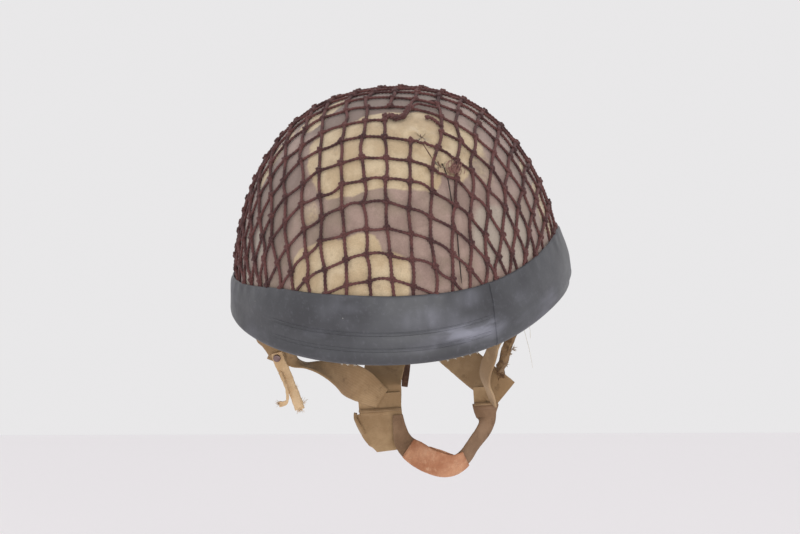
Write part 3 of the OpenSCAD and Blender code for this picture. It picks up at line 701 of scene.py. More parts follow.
LOOKS = {
    "cloth": CamouflageCloth(),
    "string": NetString(),
    # A paler copy of the net string for the tangle: partly the threads' own paler colour, partly painted
    # light against the shade they cast on each other
    "fray": NetString("lit_frayed_string", (112, 72, 66), (150, 106, 96), (188, 148, 136)),
    "seam": NetString("seam_thread", (30, 22, 22), (46, 34, 33), (84, 64, 60)),
    "rubber": BandRubber(),
    "sponge": SpongeRubber(),
    "web": WovenCotton("harness_web", (155, 125, 90), (180, 150, 113), (100, 76, 51)),
    "tape": WovenCotton("pale_tape", (160, 142, 108), (186, 170, 138), (104, 88, 64), Weave.TAPE),
    "lace": WovenCotton("lace_cord", (172, 152, 118), (196, 180, 150), (110, 92, 68), Weave.LACE),
    # A darker copy of the web's colours: painted shade for the chin strap
    "shaded": WovenCotton("painted_shade_web", (125, 96, 71), (147, 117, 90), (84, 61, 43)),
    "torn": WovenCotton("torn_web", (206, 172, 130), (230, 200, 160), (136, 106, 74)),
    "lint": WovenCotton("pale_lint", (234, 229, 216), (243, 240, 232), (202, 194, 174), Weave.LACE),
    "cup": WornLeather("cup_leather", (202, 148, 112), (216, 172, 138), (170, 112, 78), 0.6),
    "brown": WornLeather("brown_leather", (138, 108, 72), (170, 140, 100), (92, 66, 42), 0.8),
    "dark": WornLeather("dark_leather", (122, 88, 66), (146, 112, 86), (80, 54, 42), 0.65),
    "bronze": WornMetal("dark_bronze", (132, 112, 110), (84, 62, 60), (60, 38, 34), 0.3),
    "sweat": WornLeather("sweatband_leather", (112, 76, 48), (148, 108, 72), (66, 42, 28), 0.5),
    "steel_paint": WornMetal("painted_steel", (92, 92, 78), (76, 76, 66), (96, 62, 42), 0.8, 0.0, 0.12),
    "steel": WornMetal("plain_steel", (134, 130, 124), (100, 96, 92), (104, 66, 44), 0.45),
    "brass": WornMetal("fastener_brass", (142, 118, 78), (104, 84, 58), (70, 58, 44), 0.42),
    "fibre": WornMetal("black_fibre", (38, 36, 35), (52, 48, 45), (84, 70, 58), 0.7, 0.0, 0.05),
}


def dress(piece: Piece, finish: Material) -> None:
    """Give a piece one material and nothing else."""
    piece.data.materials.clear()
    piece.data.materials.append(finish)


@dataclass
class Assembly:
    """A part of the helmet whose pieces take the helmet's finishes."""

    finishes: dict[str, Material]

    def place(self, piece: Piece, finish: str, slot: str, *nodes: str, body: str = "helmet") -> None:
        """Dress a piece and let it ride on a body, in place of the solids that it stands for.

        Args:
            piece: The piece.
            finish: Name of its finish.
            slot: Name of a material slot; not used.
            nodes: The solids that it replaces.
            body: The body that it moves with.
        """
        dress(piece, self.finishes[finish])
        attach(piece, body)
        if nodes:
            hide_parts(*nodes)
        log.info("%s: %d faces, on %s", piece.name, len(piece.data.polygons), body)


# The dome and what lies on it


@dataclass(frozen=True)
class Dome:
    """The helmet's surface, measured outward from the outside of the cloth cover."""

    half_w: float = 119.4
    half_l: float = 140.2
    rise: float = 138.4
    level: float = 25.0
    shoulder: float = 2.52
    crown: float = 1.8
    lean: float = 0.11
    ear_arch: float = 14.5
    steps: int = 60

    def wall(self, turn: float, z: float, off: float = 0.0) -> Vector:
        """Find a point of the surface by its height.

        Args:
            turn: Its turn about Z, in radians.
            z: Its height.
            off: How far outside the surface it lies.

        Returns:
            The point.
        """
        up = z - self.level
        share = 1.0
        if up > 0:
            share = max(0.0, 1 - (up / (self.rise + off)) ** self.crown) ** (1 / self.shoulder)
        lean = max(0.0, -up) * self.lean
        return Vector((((self.half_w + off) * share + lean) * cos(turn),
                       ((self.half_l + off) * share + lean) * sin(turn), z))

    def profile(self) -> list[tuple[float, float, float]]:
        """Measure the surface from the crown down to its widest level.

        Returns:
            For each point its run, its share of the half width and of the rise.
        """
        mean = (self.half_w + self.half_l) / 2
        table = []
        run = 0.0
        last = None
        for k in range(self.steps + 1):
            slope = pi / 2 * (1 - k / self.steps)
            share = max(0.0, cos(slope)) ** (2 / self.shoulder)
            height = sin(slope) ** (2 / self.crown)
            here = Vector((mean * share, self.rise * height))
            run += (here - last).length if last is not None else 0.0
            last = here
            table.append((run, share, height))
        return table

    def from_ball(self, direction: Vector, off: float = 0.0) -> Vector:
        """Find the point that lies as far from the crown, along the surface, as on a ball.

        Args:
            direction: The direction on the ball.
            off: How far outside the surface it lies.

        Returns:
            The point.
        """
        run = acos(max(-1.0, min(1.0, direction.z))) / (pi / 2) * FULL_RUN
        turn = bearing(direction)
        low, high = next((pair for pair in zip(PROFILE, PROFILE[1:]) if pair[1][0] >= run), PROFILE[-2:])
        share = min(1.0, (run - low[0]) / (high[0] - low[0]))
        wide = mix(low[1], high[1], share)
        tall = mix(low[2], high[2], share) * (self.rise + off) - max(0.0, run - FULL_RUN)
        lean = max(0.0, -tall) * self.lean
        return Vector((((self.half_w + off) * wide + lean) * cos(turn),
                       ((self.half_l + off) * wide + lean) * sin(turn), self.level + tall))

    def chart(self, place: Vector) -> tuple[float, float]:
        """Find a place on the chart, which is measured along the surface from the crown.

        Args:
            place: A place on the surface.

        Returns:
            Its run to the left and to the brow.
        """
        turn = atan2(place.y / self.half_l, place.x / self.half_w)
        up = (place.z - self.level) / self.rise
        run = FULL_RUN + max(0.0, -up) * self.rise
        for low, high in zip(PROFILE, PROFILE[1:]):
            if high[2] <= up <= low[2]:
                run = mix(low[0], high[0], (low[2] - up) / max(1e-9, low[2] - high[2]))
        return (run * cos(turn), -run * sin(turn))

    def out(self, place: Vector) -> Vector:
        """Find the outward direction of the surface.

        Args:
            place: A place on the surface.

        Returns:
            The direction.
        """
        up = max(0.0, place.z - self.level) / self.rise
        flat = hypot(place.x / self.half_w, place.y / self.half_l)
        grip = max(flat, 0.02) ** (self.shoulder - 2) * self.shoulder
        return Vector((grip * place.x / self.half_w ** 2, grip * place.y / self.half_l ** 2,
                       self.crown * up ** (self.crown - 1) / self.rise)).normalized()

    def edge(self, turn: float) -> float:
        """Return the height of the shell's edge at a turn."""
        return 5.0 + self.ear_arch * cos(turn) ** 2


DOME = Dome()
PROFILE = DOME.profile()
FULL_RUN = PROFILE[-1][0]
MEAN_RADIUS = 130.0


def ball_way(angle: float, turn: float) -> Vector:
    """Return the direction at an angle from straight up and a turn about Z, both in radians."""
    return Vector((sin(angle) * cos(turn), sin(angle) * sin(turn), cos(angle)))


def bearing(place: Vector) -> float:
    """Return the turn about Z at which a place lies, in radians."""
    return atan2(place.y, place.x)


@dataclass(frozen=True)
class BandLine:
    """Heights of the rubber band's edges."""

    top: float = 48.4
    tilt: float = 4.6
    ear_rise: float = 3.1
    ripple: float = 3.1
    skew: float = 2.3
    lap_sag: float = 2.3
    right_sag: float = 2.0
    end_sag: float = 5.0
    lap_drop: float = 4.2
    left_drop: float = 3.0

    def upper(self, turn: float) -> float:
        """Find the height of the upper edge.

        Args:
            turn: Turn about Z, in radians.

        Returns:
            The height.
        """
        angle = degrees(turn)
        sag = self.lap_sag * hump(angle + 54, 26) + self.right_sag * hump(angle + 152, 16)
        sag += self.end_sag * (hump(abs(angle) - 180, 18) + hump(angle - 14, 20))
        return (self.top + self.tilt * cos(turn) + self.ear_rise * cos(2 * turn)
                + self.ripple * cos(3 * turn) - sag)

    def lower(self, turn: float) -> float:
        """Return the height of the lower edge at a turn."""
        drop = self.lap_drop * hump(degrees(turn) + 60, 30) + self.left_drop * hump(degrees(turn), 22)
        return DOME.ear_arch * cos(turn) ** 2 + self.skew * cos(turn) - drop


BAND = BandLine()


@dataclass(frozen=True)
class Patch:
    """One soft camouflage patch on the dome's chart, with its lean in degrees."""

    left: float
    fore: float
    half_wide: float
    half_high: float
    lean: float = 0.0
    strength: float = 1.0
    squareness: float = 3.0

    def at(self, left: float, fore: float) -> float:
        """Find the patch's strength at a place on the chart.

        Args:
            left: Run from the crown to the left.
            fore: Run from the crown to the brow.

        Returns:
            Its strength, 0 outside the patch.
        """
        turn = radians(self.lean)
        across, along = left - self.left, fore - self.fore
        wide = abs(across * cos(turn) + along * sin(turn)) / self.half_wide
        high = abs(along * cos(turn) - across * sin(turn)) / self.half_high
        edge = (wide ** self.squareness + high ** self.squareness) ** (1 / self.squareness)
        return self.strength * min(1.0, max(0.0, 0.5 + (1 - edge) * min(self.half_wide, self.half_high) / 6))


@dataclass
class ClothCover(Assembly):
    """The cloth cover, one sheet stretched over the shell, with puckers, a seam and loose folds."""

    columns: int = 330
    rows: int = 116
    thickness: float = 0.9
    turned_in: float = 0.3
    sunk: float = 0.25
    flat_area: float = 0.121
    khaki: tuple[Patch, ...] = (
        Patch(-14, 91, 38, 31, squareness=7), Patch(14, 88, 34, 34, squareness=6),
        Patch(44, 78, 32, 25, 14, squareness=4), Patch(66, 68, 22, 15, -18, 0.62),
        Patch(-50, 86, 12, 26, 0, 0.85), Patch(-65, 87, 12, 7, -38, 0.41), Patch(-48, 29, 24, 11, -38),
        Patch(-97, 38, 26, 7, -20), Patch(-69, 120, 11, 10, 0, 0.48, 4),
        Patch(-74, 162, 28, 21, 8, squareness=4), Patch(-40, 172, 36, 22, 0, squareness=4),
        Patch(-12, 184, 36, 17, -8, squareness=4), Patch(-102, 162, 12, 14, 30),
        Patch(84, 78, 12, 18, -20, 0.45), Patch(124, 32, 5, 14, 0, 0.8), Patch(-60, -70, 46, 26, 20),
        Patch(40, -88, 44, 30, -12), Patch(-20, -150, 40, 24, 10), Patch(118, -40, 26, 34, 10),
        Patch(84, -140, 34, 24, -30), Patch(-140, -40, 24, 32, 0), Patch(-120, -118, 28, 22, 30),
        Patch(158, 40, 20, 18, 20), Patch(16, -44, 26, 12, 20, 0.7))
    green: tuple[Patch, ...] = (
        Patch(112, 124, 32, 22, -38), Patch(134, 108, 18, 16, -38), Patch(-160, 84, 22, 8, -62),
        Patch(-132, 96, 12, 8, -50), Patch(-12, -112, 36, 18, 10), Patch(96, -84, 22, 26, 10),
        Patch(-112, 6, 18, 26, 20), Patch(60, -8, 24, 16, 30, 0.5), Patch(150, -70, 18, 30, 0),
        Patch(-96, -160, 30, 18, 20))
    brown: tuple[Patch, ...] = (
        Patch(-8, 30, 62, 30, 0), Patch(-30, 50, 22, 14, 0), Patch(-110, 80, 34, 40, -40, 0.7),
        Patch(20, -60, 60, 26, 0, 0.7))
    seam: tuple[Point, ...] = (
        (37, -88, 128), (43, -104, 106), (46, -115, 85), (47, -126, 49), (47, -128, 30))

    def seam_distance(self, place: Vector) -> float:
        """Measure how far a place lies from the seam that runs down to the brow.

        Args:
            place: The place.

        Returns:
            The distance.
        """
        best = 99.0
        for first, second in zip(self.seam, self.seam[1:]):
            a, b = Vector(first), Vector(second)
            share = max(0.0, min(1.0, (place - a).dot(b - a) / (b - a).length_squared))
            best = min(best, (place - mix(a, b, share)).length)
        return best

    def rise(self, place: Vector) -> float:
        """Find how far the cloth stands off its even surface, with its puckers and its seam.

        Args:
            place: A place on the even surface.

        Returns:
            The height.
        """
        swell = noise.noise(place / 26) * 0.5 + noise.noise(place / 9 + Vector((7, 3, 1))) * 0.22
        height = swell + 0.2
        for k, middle in enumerate(COVER_PINCHES):
            away = place - Vector(middle)
            angle = atan2(away.z, away.x)
            height += 1.5 * hump(away.length - 5, 6.5) * cos((5 + k) * angle + k)
            height -= 0.9 * hump(away.length, 2.2)
        turn = bearing(place)
        above = place.z - BAND.upper(turn)
        height += 0.35 * hump(above, 9) * sin(46 * turn + 3 * noise.noise(place / 20))
        height -= 0.7 * hump(self.seam_distance(place), 1.6)
        height += 0.45 * hump(self.seam_distance(place) - 3.2, 1.8)
        return max(-0.5, min(1.3, height))

    def build(self) -> None:
        """Make the cover, one sheet with its own thickness."""
        skin = Skin()
        skin.points = [self.spot(0.0, 0.0) * MM]
        skin.points += [self.spot(2 * pi * c / self.columns, r / self.rows) * MM
                        for r in range(1, self.rows + 1) for c in range(self.columns)]
        for c in range(self.columns):
            d = (c + 1) % self.columns
            skin.faces.append((0, 1 + c, 1 + d))
            skin.corners.append([self.flat(0, c), self.flat(1, c), self.flat(1, c + 1)])
        for r in range(self.rows - 1):
            for c in range(self.columns):
                d = (c + 1) % self.columns
                first, second = 1 + r * self.columns, 1 + (r + 1) * self.columns
                skin.faces.append((first + c, second + c, second + d, first + d))
                spots = ((r + 1, c), (r + 2, c), (r + 2, c + 1), (r + 1, c + 1))
                skin.corners.append([self.flat(*spot) for spot in spots])
        cover = skin.piece("cover_cloth")
        for name, patches in (("khaki", self.khaki), ("green", self.green), ("brown", self.brown)):
            self.mark(cover, name, partial(self.patched, patches))
        self.mark(cover, "seam", lambda place: hump(self.seam_distance(place), 1.1))
        wall = cover.modifiers.new("thickness", "SOLIDIFY")
        wall.thickness = self.thickness * MM
        wall.offset = -1.0
        choose(cover)
        bpy.ops.object.modifier_apply(modifier=wall.name)
        self.place(cover, "cloth", "camouflage_cloth", "cloth_cover")

    def spot(self, turn: float, share: float) -> Vector:
        """Find one point of the cloth.

        Args:
            turn: Its turn about Z, in radians.
            share: Share of the way from the crown to the edge.

        Returns:
            The point.
        """
        rim = FULL_RUN + DOME.level - DOME.edge(turn) - self.turned_in
        angle = share * rim / FULL_RUN * pi / 2
        if angle > pi / 2:
            even = DOME.wall(turn, DOME.level - (share * rim - FULL_RUN))
        else:
            even = DOME.from_ball(ball_way(angle, turn))
        return even + DOME.out(even) * (self.rise(even) - self.sunk)

    def flat(self, row: int, column: int) -> tuple[float, float]:
        """Return the place in the UV map, in metres along and round the dome."""
        round_length = 2 * pi * MEAN_RADIUS * MM
        return (column / self.columns * round_length, row / self.rows * 225 * MM)

    def mark(self, cover: Piece, name: str, strength: Callable[[Vector], float]) -> None:
        """Keep on each point of the cover a strength that depends on its place."""
        layer = cover.data.attributes.new(name, "FLOAT", "POINT")
        layer.data.foreach_set("value", [strength(vertex.co / MM) for vertex in cover.data.vertices])

    def patched(self, patches: tuple[Patch, ...], place: Vector) -> float:
        """Find the strength of a colour at a place, with the edges of its patches pushed about.

        Args:
            patches: The patches of the colour.
            place: The place.

        Returns:
            The strength, from 0 to 1.
        """
        left, fore = DOME.chart(place)
        left += 4 * noise.noise(place / 19) + 1.5 * noise.noise(place / 6)
        fore += 3 * noise.noise(place / 19 + Vector((5, 0, 0)))
        fore += 1.2 * noise.noise(place / 6 + Vector((0, 9, 0)))
        return max(patch.at(left, fore) for patch in patches)


@dataclass
class StringNet(Assembly):
    """The knotted string net, draped so that each knot mirrors the knot two cords back."""

    cover: ClothCover
    mesh: float = 17.05
    radius: float = 1.19
    thin_radius: float = 1.03
    collar: float = 0.35
    collar_reach: float = 2.6
    knot_size: float = 1.78
    reach: int = 17
    turned: Point = (-2.0, -3.1, -5.6)
    slack: float = 0.75
    sides: int = 6
    ring_step: float = 0.85
    lay_length: float = 5.5
    tucked: float = 5.5
    shortest: int = 4
    seed: int = 11
    missing: tuple[tuple[int, ...], ...] = ((2, -4),)
    cut: tuple[tuple[int, ...], ...] = ((1, -4, 1, -3),)
    dragged: dict[tuple[int, int], float] = field(default_factory=lambda: {
        (3, -4): -0.045, (3, -3): -0.035, (1, -4): 0.022, (3, -5): -0.03, (4, -4): -0.027,
        (4, -5): -0.018, (4, -6): -0.028, (4, -7): -0.02})
    bunch: Trail = (
        (2.2, 61.1), (6.8, 62.0), (11.4, 64.0), (16.5, 61.1), (18.8, 55.7), (21.6, 48.9), (26.7, 42.6),
        (33.7, 42.5), (41.5, 42.2))
    curled_end: Trail = ((34.3, 58.6), (36.7, 58.0), (39.9, 59.4), (43.2, 62.0), (46.5, 64.6))
    short_end: Trail = ((34.9, 33.8), (38.6, 29.8), (43.4, 31.0))
    loose_threads: tuple[Trail, ...] = (
        ((31.3, 83.5), (35.6, 89.7), (40.0, 95.0)), ((44.3, 97.5), (46.0, 99.0), (47.9, 101.2)),
        ((29.8, 76.5), (30.6, 78.6), (31.6, 80.2)))
    seam_thread: Trail = (
        (48.5, 96.6), (51.4, 100.9), (54.1, 106.4), (58.0, 117.4), (60.5, 125.6), (63.0, 134.7),
        (67.2, 142.5), (72.2, 158.9), (77.9, 174.9))
    tangle: tuple[float, float] = (58.6, 98.0)

    def __post_init__(self) -> None:
        """Work out the net's knots on a ball."""
        random.seed(self.seed)
        self.step = self.mesh / FULL_RUN * pi / 2
        step = self.step
        self.rows = [[Vector((0, sin(j * step), cos(j * step))) for j in range(self.reach + 1)]]
        for i in range(1, self.reach + 1):
            row = [Vector((sin(i * step), 0, cos(i * step)))]
            for j in range(1, self.reach + 1):
                past, across, back = self.rows[-1][j - 1], self.rows[-1][j], row[-1]
                plane = across.cross(back).normalized()
                row.append(past - plane * (2 * past.dot(plane)))
            self.rows.append(row)
        tilt = Vector(tuple(radians(angle) for angle in self.turned))
        self.turn = Matrix.Rotation(tilt.length, 3, tilt.normalized())
        self.span = range(-self.reach, self.reach + 1)
        self.stray = {(i, j): (random.gauss(0, 0.006), random.gauss(0, 0.006))
                      for i in self.span for j in self.span}
        tied = [self.on_cloth(self.ball(i, j)) for i in self.span for j in self.span
                if (i, j) not in self.missing]
        self.knots = KDTree(len(tied))
        for k, place in enumerate(tied):
            self.knots.insert(place, k)
        self.knots.balance()

    def ball(self, i: int, j: int) -> Vector:
        """Find a knot's direction from the middle of the ball, moved as far as it strays.

        Args:
            i: Its number crossways.
            j: Its number lengthways.

        Returns:
            The direction.
        """
        knot = self.rows[abs(i)][abs(j)]
        sign_i, sign_j = (i > 0) - (i < 0), (j > 0) - (j < 0)
        even = self.turn @ Vector((sign_i * abs(knot.x), sign_j * abs(knot.y), knot.z))
        side = even.cross(Vector((0.3, 0.5, 1.0))).normalized()
        stray, drag = self.stray[(i, j)], self.dragged.get((i, j), 0.0)
        return (even + side * (stray[0] + drag) + even.cross(side) * stray[1]).normalized()

    def height(self, place: Vector) -> float:
        """Return a cord's height over the even surface, less where the rubber band presses it down."""
        loose = self.radius + max(0.0, self.cover.rise(place))
        return mix(self.radius * 0.7, loose, ease(place.z - BAND.upper(bearing(place)), 0.0, 8.0))

    def on_cloth(self, direction: Vector) -> Vector:
        """Return the place of a cord's middle for a direction on the ball."""
        even = DOME.from_ball(direction)
        return even + DOME.out(even) * self.height(even)

    def showing(self, place: Vector) -> bool:
        """Return whether a place lies above the hidden stretch under the rubber band."""
        return place.z > BAND.upper(bearing(place)) - self.tucked

    def stretches(self, along_j: bool) -> list[list[Vector]]:
        """Lay the cords of one direction.

        Args:
            along_j: Whether they are the lengthways cords.

        Returns:
            The points of each unbroken stretch.
        """
        cords = []
        for fixed in self.span:
            path: list[Vector] = []
            for moving in self.span[:-1]:
                here = (fixed, moving) if along_j else (moving, fixed)
                ahead = (fixed, moving + 1) if along_j else (moving + 1, fixed)
                gone = here in self.missing or ahead in self.missing or here + ahead in self.cut
                leg = [None] if gone else self.leg(self.ball(*here), self.ball(*ahead), bool(path))
                for point in leg:
                    if point is not None and self.showing(point):
                        path.append(point)
                    else:
                        cords.append(path)
                        path = []
            cords.append(path)
        return [path for path in cords if len(path) >= self.shortest]

    def leg(self, first: Vector, second: Vector, joined: bool) -> list[Vector]:
        """Lay a cord from one knot to the next, with a little slack.

        Args:
            first: Direction of the first knot.
            second: Direction of the second.
            joined: Whether its first point is there already.

        Returns:
            Its points.
        """
        steps = max(4, int((first - second).length / self.step * self.mesh / self.ring_step))
        sag = random.gauss(0, self.slack) / MEAN_RADIUS
        side = first.cross(second).normalized()
        points = []
        for s in range(1 if joined else 0, steps + 1):
            share = s / steps
            bow = side * (sag * sin(pi * share))
            points.append(self.on_cloth((mix(first, second, share) + bow).normalized()))
        return points

    def cord(self, skin: Skin, path: list[Vector], radius: float) -> None:
        """Sweep a two-strand twisted cord along a path.

        Args:
            skin: The mesh that it joins.
            path: Points of its middle.
            radius: Its radius.
        """
        frames = line_frames(path, DOME.out(path[0]))
        rings = []
        run = 0.0
        for k, point in enumerate(path):
            run += (point - path[k - 1]).length if k else 0.0
            side, out = frames[k]
            lay = 2 * pi * run / self.lay_length
            swell = self.collar * hump(self.knots.find(point)[2], self.collar_reach)
            ring = []
            for c in range(self.sides):
                angle = 2 * pi * c / self.sides + lay
                thick = radius * (1 + 0.2 * cos(2 * (angle - lay)) - 0.06) + swell
                ring.append(point + side * (thick * cos(angle)) + out * (thick * sin(angle)))
            rings.append(ring)
        skin.sweep(rings)

    def knot(self, skin: Skin, place: Vector, out: Vector, size: float, spin: float) -> None:
        """Add one small tight knot, a cord tied round itself three times.

        Args:
            skin: The mesh that it joins.
            place: Its middle.
            out: The direction that it faces.
            size: Its size.
            spin: How far it is turned, in radians.
        """
        side = out.cross(Vector((cos(spin), sin(spin), 0.3))).normalized()
        fore = out.cross(side)
        count = 16
        path = []
        for k in range(count):
            t = 2 * pi * k / count
            x = sin(t) + 2 * sin(2 * t)
            y = cos(t) - 2 * cos(2 * t)
            lift = 0.55 - sin(3 * t)
            path.append(place + (side * x + fore * y) * (size * 0.36) + out * (lift * size * 0.5))
        rings = []
        for k in range(count):
            ahead = (path[(k + 1) % count] - path[k - 1]).normalized()
            across = out.cross(ahead).normalized()
            rings.append(round_ring(path[k], across, ahead.cross(across), self.radius * 0.82, 5))
        skin.sweep(rings, closed=True)

    def build(self) -> None:
        """Make the cords, the knots and the loose ends."""
        plans = (("net_cords_long", True, self.radius), ("net_cords_cross", False, self.thin_radius))
        for name, along_j, radius in plans:
            skin = Skin()
            for path in self.stretches(along_j):
                self.cord(skin, path, radius)
            self.place(skin.piece(name), "string", "net_string", "camouflage_net")
        self.build_knots()
        self.build_torn_cords()
        self.build_threads()

    def build_knots(self) -> None:
        """Make the knots that show above the rubber band."""
        skin = Skin()
        drop = Vector((0, 0, 3))
        for i in self.span:
            for j in self.span:
                even = DOME.from_ball(self.ball(i, j))
                if (i, j) in self.missing or not self.showing(even - drop):
                    continue
                out = DOME.out(even)
                place = even + out * (self.height(even) + 0.1)
                self.knot(skin, place, out, self.knot_size * random.uniform(0.85, 1.1), random.uniform(0, 3))
        self.place(skin.piece("net_knots"), "string", "net_string")

    def at_chart(self, left: float, fore: float, lift: float) -> Vector:
        """Return the place at a run from the crown to the left and the brow, lifted off the cloth."""
        even = DOME.from_ball(ball_way(hypot(left, fore) / FULL_RUN * pi / 2, atan2(-fore, left)))
        return even + DOME.out(even) * (lift + max(0.0, self.cover.rise(even)))

    def lifted(self, trail: Trail, lift: float, steps: int) -> list[Vector]:
        """Return a smooth path through a trail on the chart, at a height above the cloth."""
        return smooth_path([self.at_chart(left, fore, lift) for left, fore in trail], steps)

    def build_torn_cords(self) -> None:
        """Make the bunched cord and the two cut ends round the hole at the crown."""
        skin = Skin()
        plans = ((self.bunch, 2.0, 0.8), (self.curled_end, 1.8, 1.1), (self.short_end, 1.2, 0.8))
        for trail, lift, thick in plans:
            self.cord(skin, self.lifted(trail, lift, 10), self.radius * thick)
        for spot in self.lifted(self.bunch[:6], 2.2, 5):
            drift = Vector((random.gauss(0, 0.5), random.gauss(0, 0.5), random.gauss(0, 0.3)))
            self.knot(skin, spot + drift, DOME.out(spot), random.uniform(1.1, 1.7), random.uniform(0, 3))
        tip = self.at_chart(*self.curled_end[0], 1.8)
        self.knot(skin, tip, DOME.out(tip), 1.2, 0.4)
        self.place(skin.piece("net_torn_cords"), "string", "net_string")

    def build_threads(self) -> None:
        """Make the tangle of torn threads, the cut threads and the cover's own seam thread."""
        skin = Skin()
        middle = self.at_chart(*self.tangle, 0.0)
        out = DOME.out(middle)
        side = out.cross(Vector((0, 0, 1))).normalized()
        fore = out.cross(side)
        for _ in range(26):
            lift, size, lean = (random.uniform(*limits) for limits in ((1.2, 3.8), (1.6, 4.6), (0, 6)))
            spot = middle + side * random.gauss(0, 1.9) + fore * random.gauss(0, 1.9) + out * lift
            path = [spot + side * (size * cos(lean + a)) + fore * (0.8 * size * sin(lean + 1.3 * a))
                    + out * random.gauss(0, 0.3) for a in range(6)]
            self.fibre(skin, smooth_path(path, 5), 0.26)
        # The tangle takes the paler copy of the string, partly painted light
        self.place(skin.piece("net_tangle"), "fray", "net_string")
        skin = Skin()
        for trail in self.loose_threads:
            self.fibre(skin, self.lifted(trail, 0.4, 6), 0.34)
        self.place(skin.piece("net_cut_threads"), "string", "net_string")
        skin = Skin()
        self.fibre(skin, self.lifted(self.seam_thread, 0.1, 8), 0.42)
        self.place(skin.piece("cover_seam_thread"), "seam", "camouflage_cloth")

    def fibre(self, skin: Skin, path: list[Vector], radius: float) -> None:
        """Sweep a fine thread that tapers at its end.

        Args:
            skin: The mesh that it joins.
            path: Points of its middle.
            radius: Its radius before the taper.
        """
        last = len(path) - 1
        radii = [radius * (1 - 0.7 * ease(k, last - 3, last)) for k in range(last + 1)]
        skin.thread(path, (0.2, 0.3, 1.0), radii, 3)


@dataclass
class RubberBand(Assembly):
    """The strip of inner tube round the rim, with its overlap and two moulded lines."""

    columns: int = 420
    rubber: float = 2.2
    inner: float = 2.5
    lap: float = 0.7
    lap_angle: float = -57.0
    lap_fade: float = 50.0
    lip: float = 8.0
    line_rise: float = 0.4
    bulge: float = 2.4

    def section(self, angle: float) -> list[Vector]:
        """Draw the band's section at an angle, from the lip's top outward and back.

        Args:
            angle: The turn about Z, in degrees.

        Returns:
            Its points.
        """
        turn = radians(angle)
        top, low = BAND.upper(turn), BAND.lower(turn)
        wobble = 0.5 * noise.noise(Vector((cos(turn), sin(turn), 0)) * 3.2)
        top += wobble + 0.25 * noise.noise(Vector((cos(turn), sin(turn), 4)) * 14)
        past = angle - self.lap_angle
        extra = self.lap * (1 - past / self.lap_fade) if 0 <= past <= self.lap_fade else 0.0
        face = self.inner + self.rubber + extra
        belly = self.bulge * hump(angle, 32)
        lip_out, lip_in = -3.7, -5.7
        seat = DOME.edge(turn) - 0.4
        inside = ((self.lip, 0), (5.5, 0), (3.0, 0.1), (1.2, 1.2))
        outside = ((0.1, -4.2), (0.6, -2.2), (1.7, -0.8), (3.2, 0.1), (5.0, 0.4))
        profile = [(low + rise, lip_in + off) for rise, off in inside]
        profile += [(low + 0.3, lip_out + 0.6), (low, lip_out + 2.2)]
        profile += [(low + rise, face + off) for rise, off in outside]
        lines = ease(angle, -138.0, -128.0) * (1 - ease(angle, self.lap_angle - 1.0, self.lap_angle))
        moulded = ((-1.6, 0.0), (-1.1, -0.5), (-0.6, 1.0), (0.0, 0.3), (0.6, 1.0), (1.1, -0.5), (1.6, 0.0))
        for middle in (11.0, 21.5):
            for away, share in moulded:
                profile.append((low + middle + away, face + 0.35 + self.line_rise * share * lines))
        for share in (0.2, 0.4, 0.6, 0.8):
            profile.append((mix(low + 23.5, top - 1.2, share), face + 0.3 * (1 - share)))
        profile += [(top - 1.2, face), (top - 0.5, face - 0.3), (top, face - 0.9), (top, self.inner - 0.3)]
        profile += [(mix(top, seat, share), self.inner) for share in (0.2, 0.6)]
        profile += [(seat, self.inner), (seat, lip_out), (low + self.lip, lip_out)]
        points = []
        for height, off in profile:
            place = DOME.wall(turn, height, off)
            if off > self.inner + 0.5 and height > low + 5:
                dent = 0.45 * noise.noise(place / 34) + 0.18 * noise.noise(place / 11)
                press = 0.28 * hump(height - top + 3, 4) * sin(58 * turn)
                full = belly * ease(height, low, low + 10) * (1 - ease(height, low + 16, top - 2))
                hug = 1.1 * ease(height, top - 14, top - 1)
                place += DOME.out(place) * (dent + press + full - hug)
            points.append(place)
        return points

    def build(self) -> None:
        """Make the band, with its overlap as a step between two close sections."""
        step = 360 / self.columns
        even = [-180 + c * step for c in range(self.columns)]
        angles = [angle for angle in even if angle < self.lap_angle - step / 2]
        angles += [self.lap_angle - 0.12, self.lap_angle + 0.02]
        angles += [angle for angle in even if angle > self.lap_angle + step / 2]
        skin = Skin().sweep([self.section(angle) for angle in angles], closed=True)
        self.place(skin.piece("band_of_rubber", 50), "rubber", "band_rubber", "rubber_band")


# Straps and threads

HINGE_Y = 70.0
HINGE_Z = -100.0


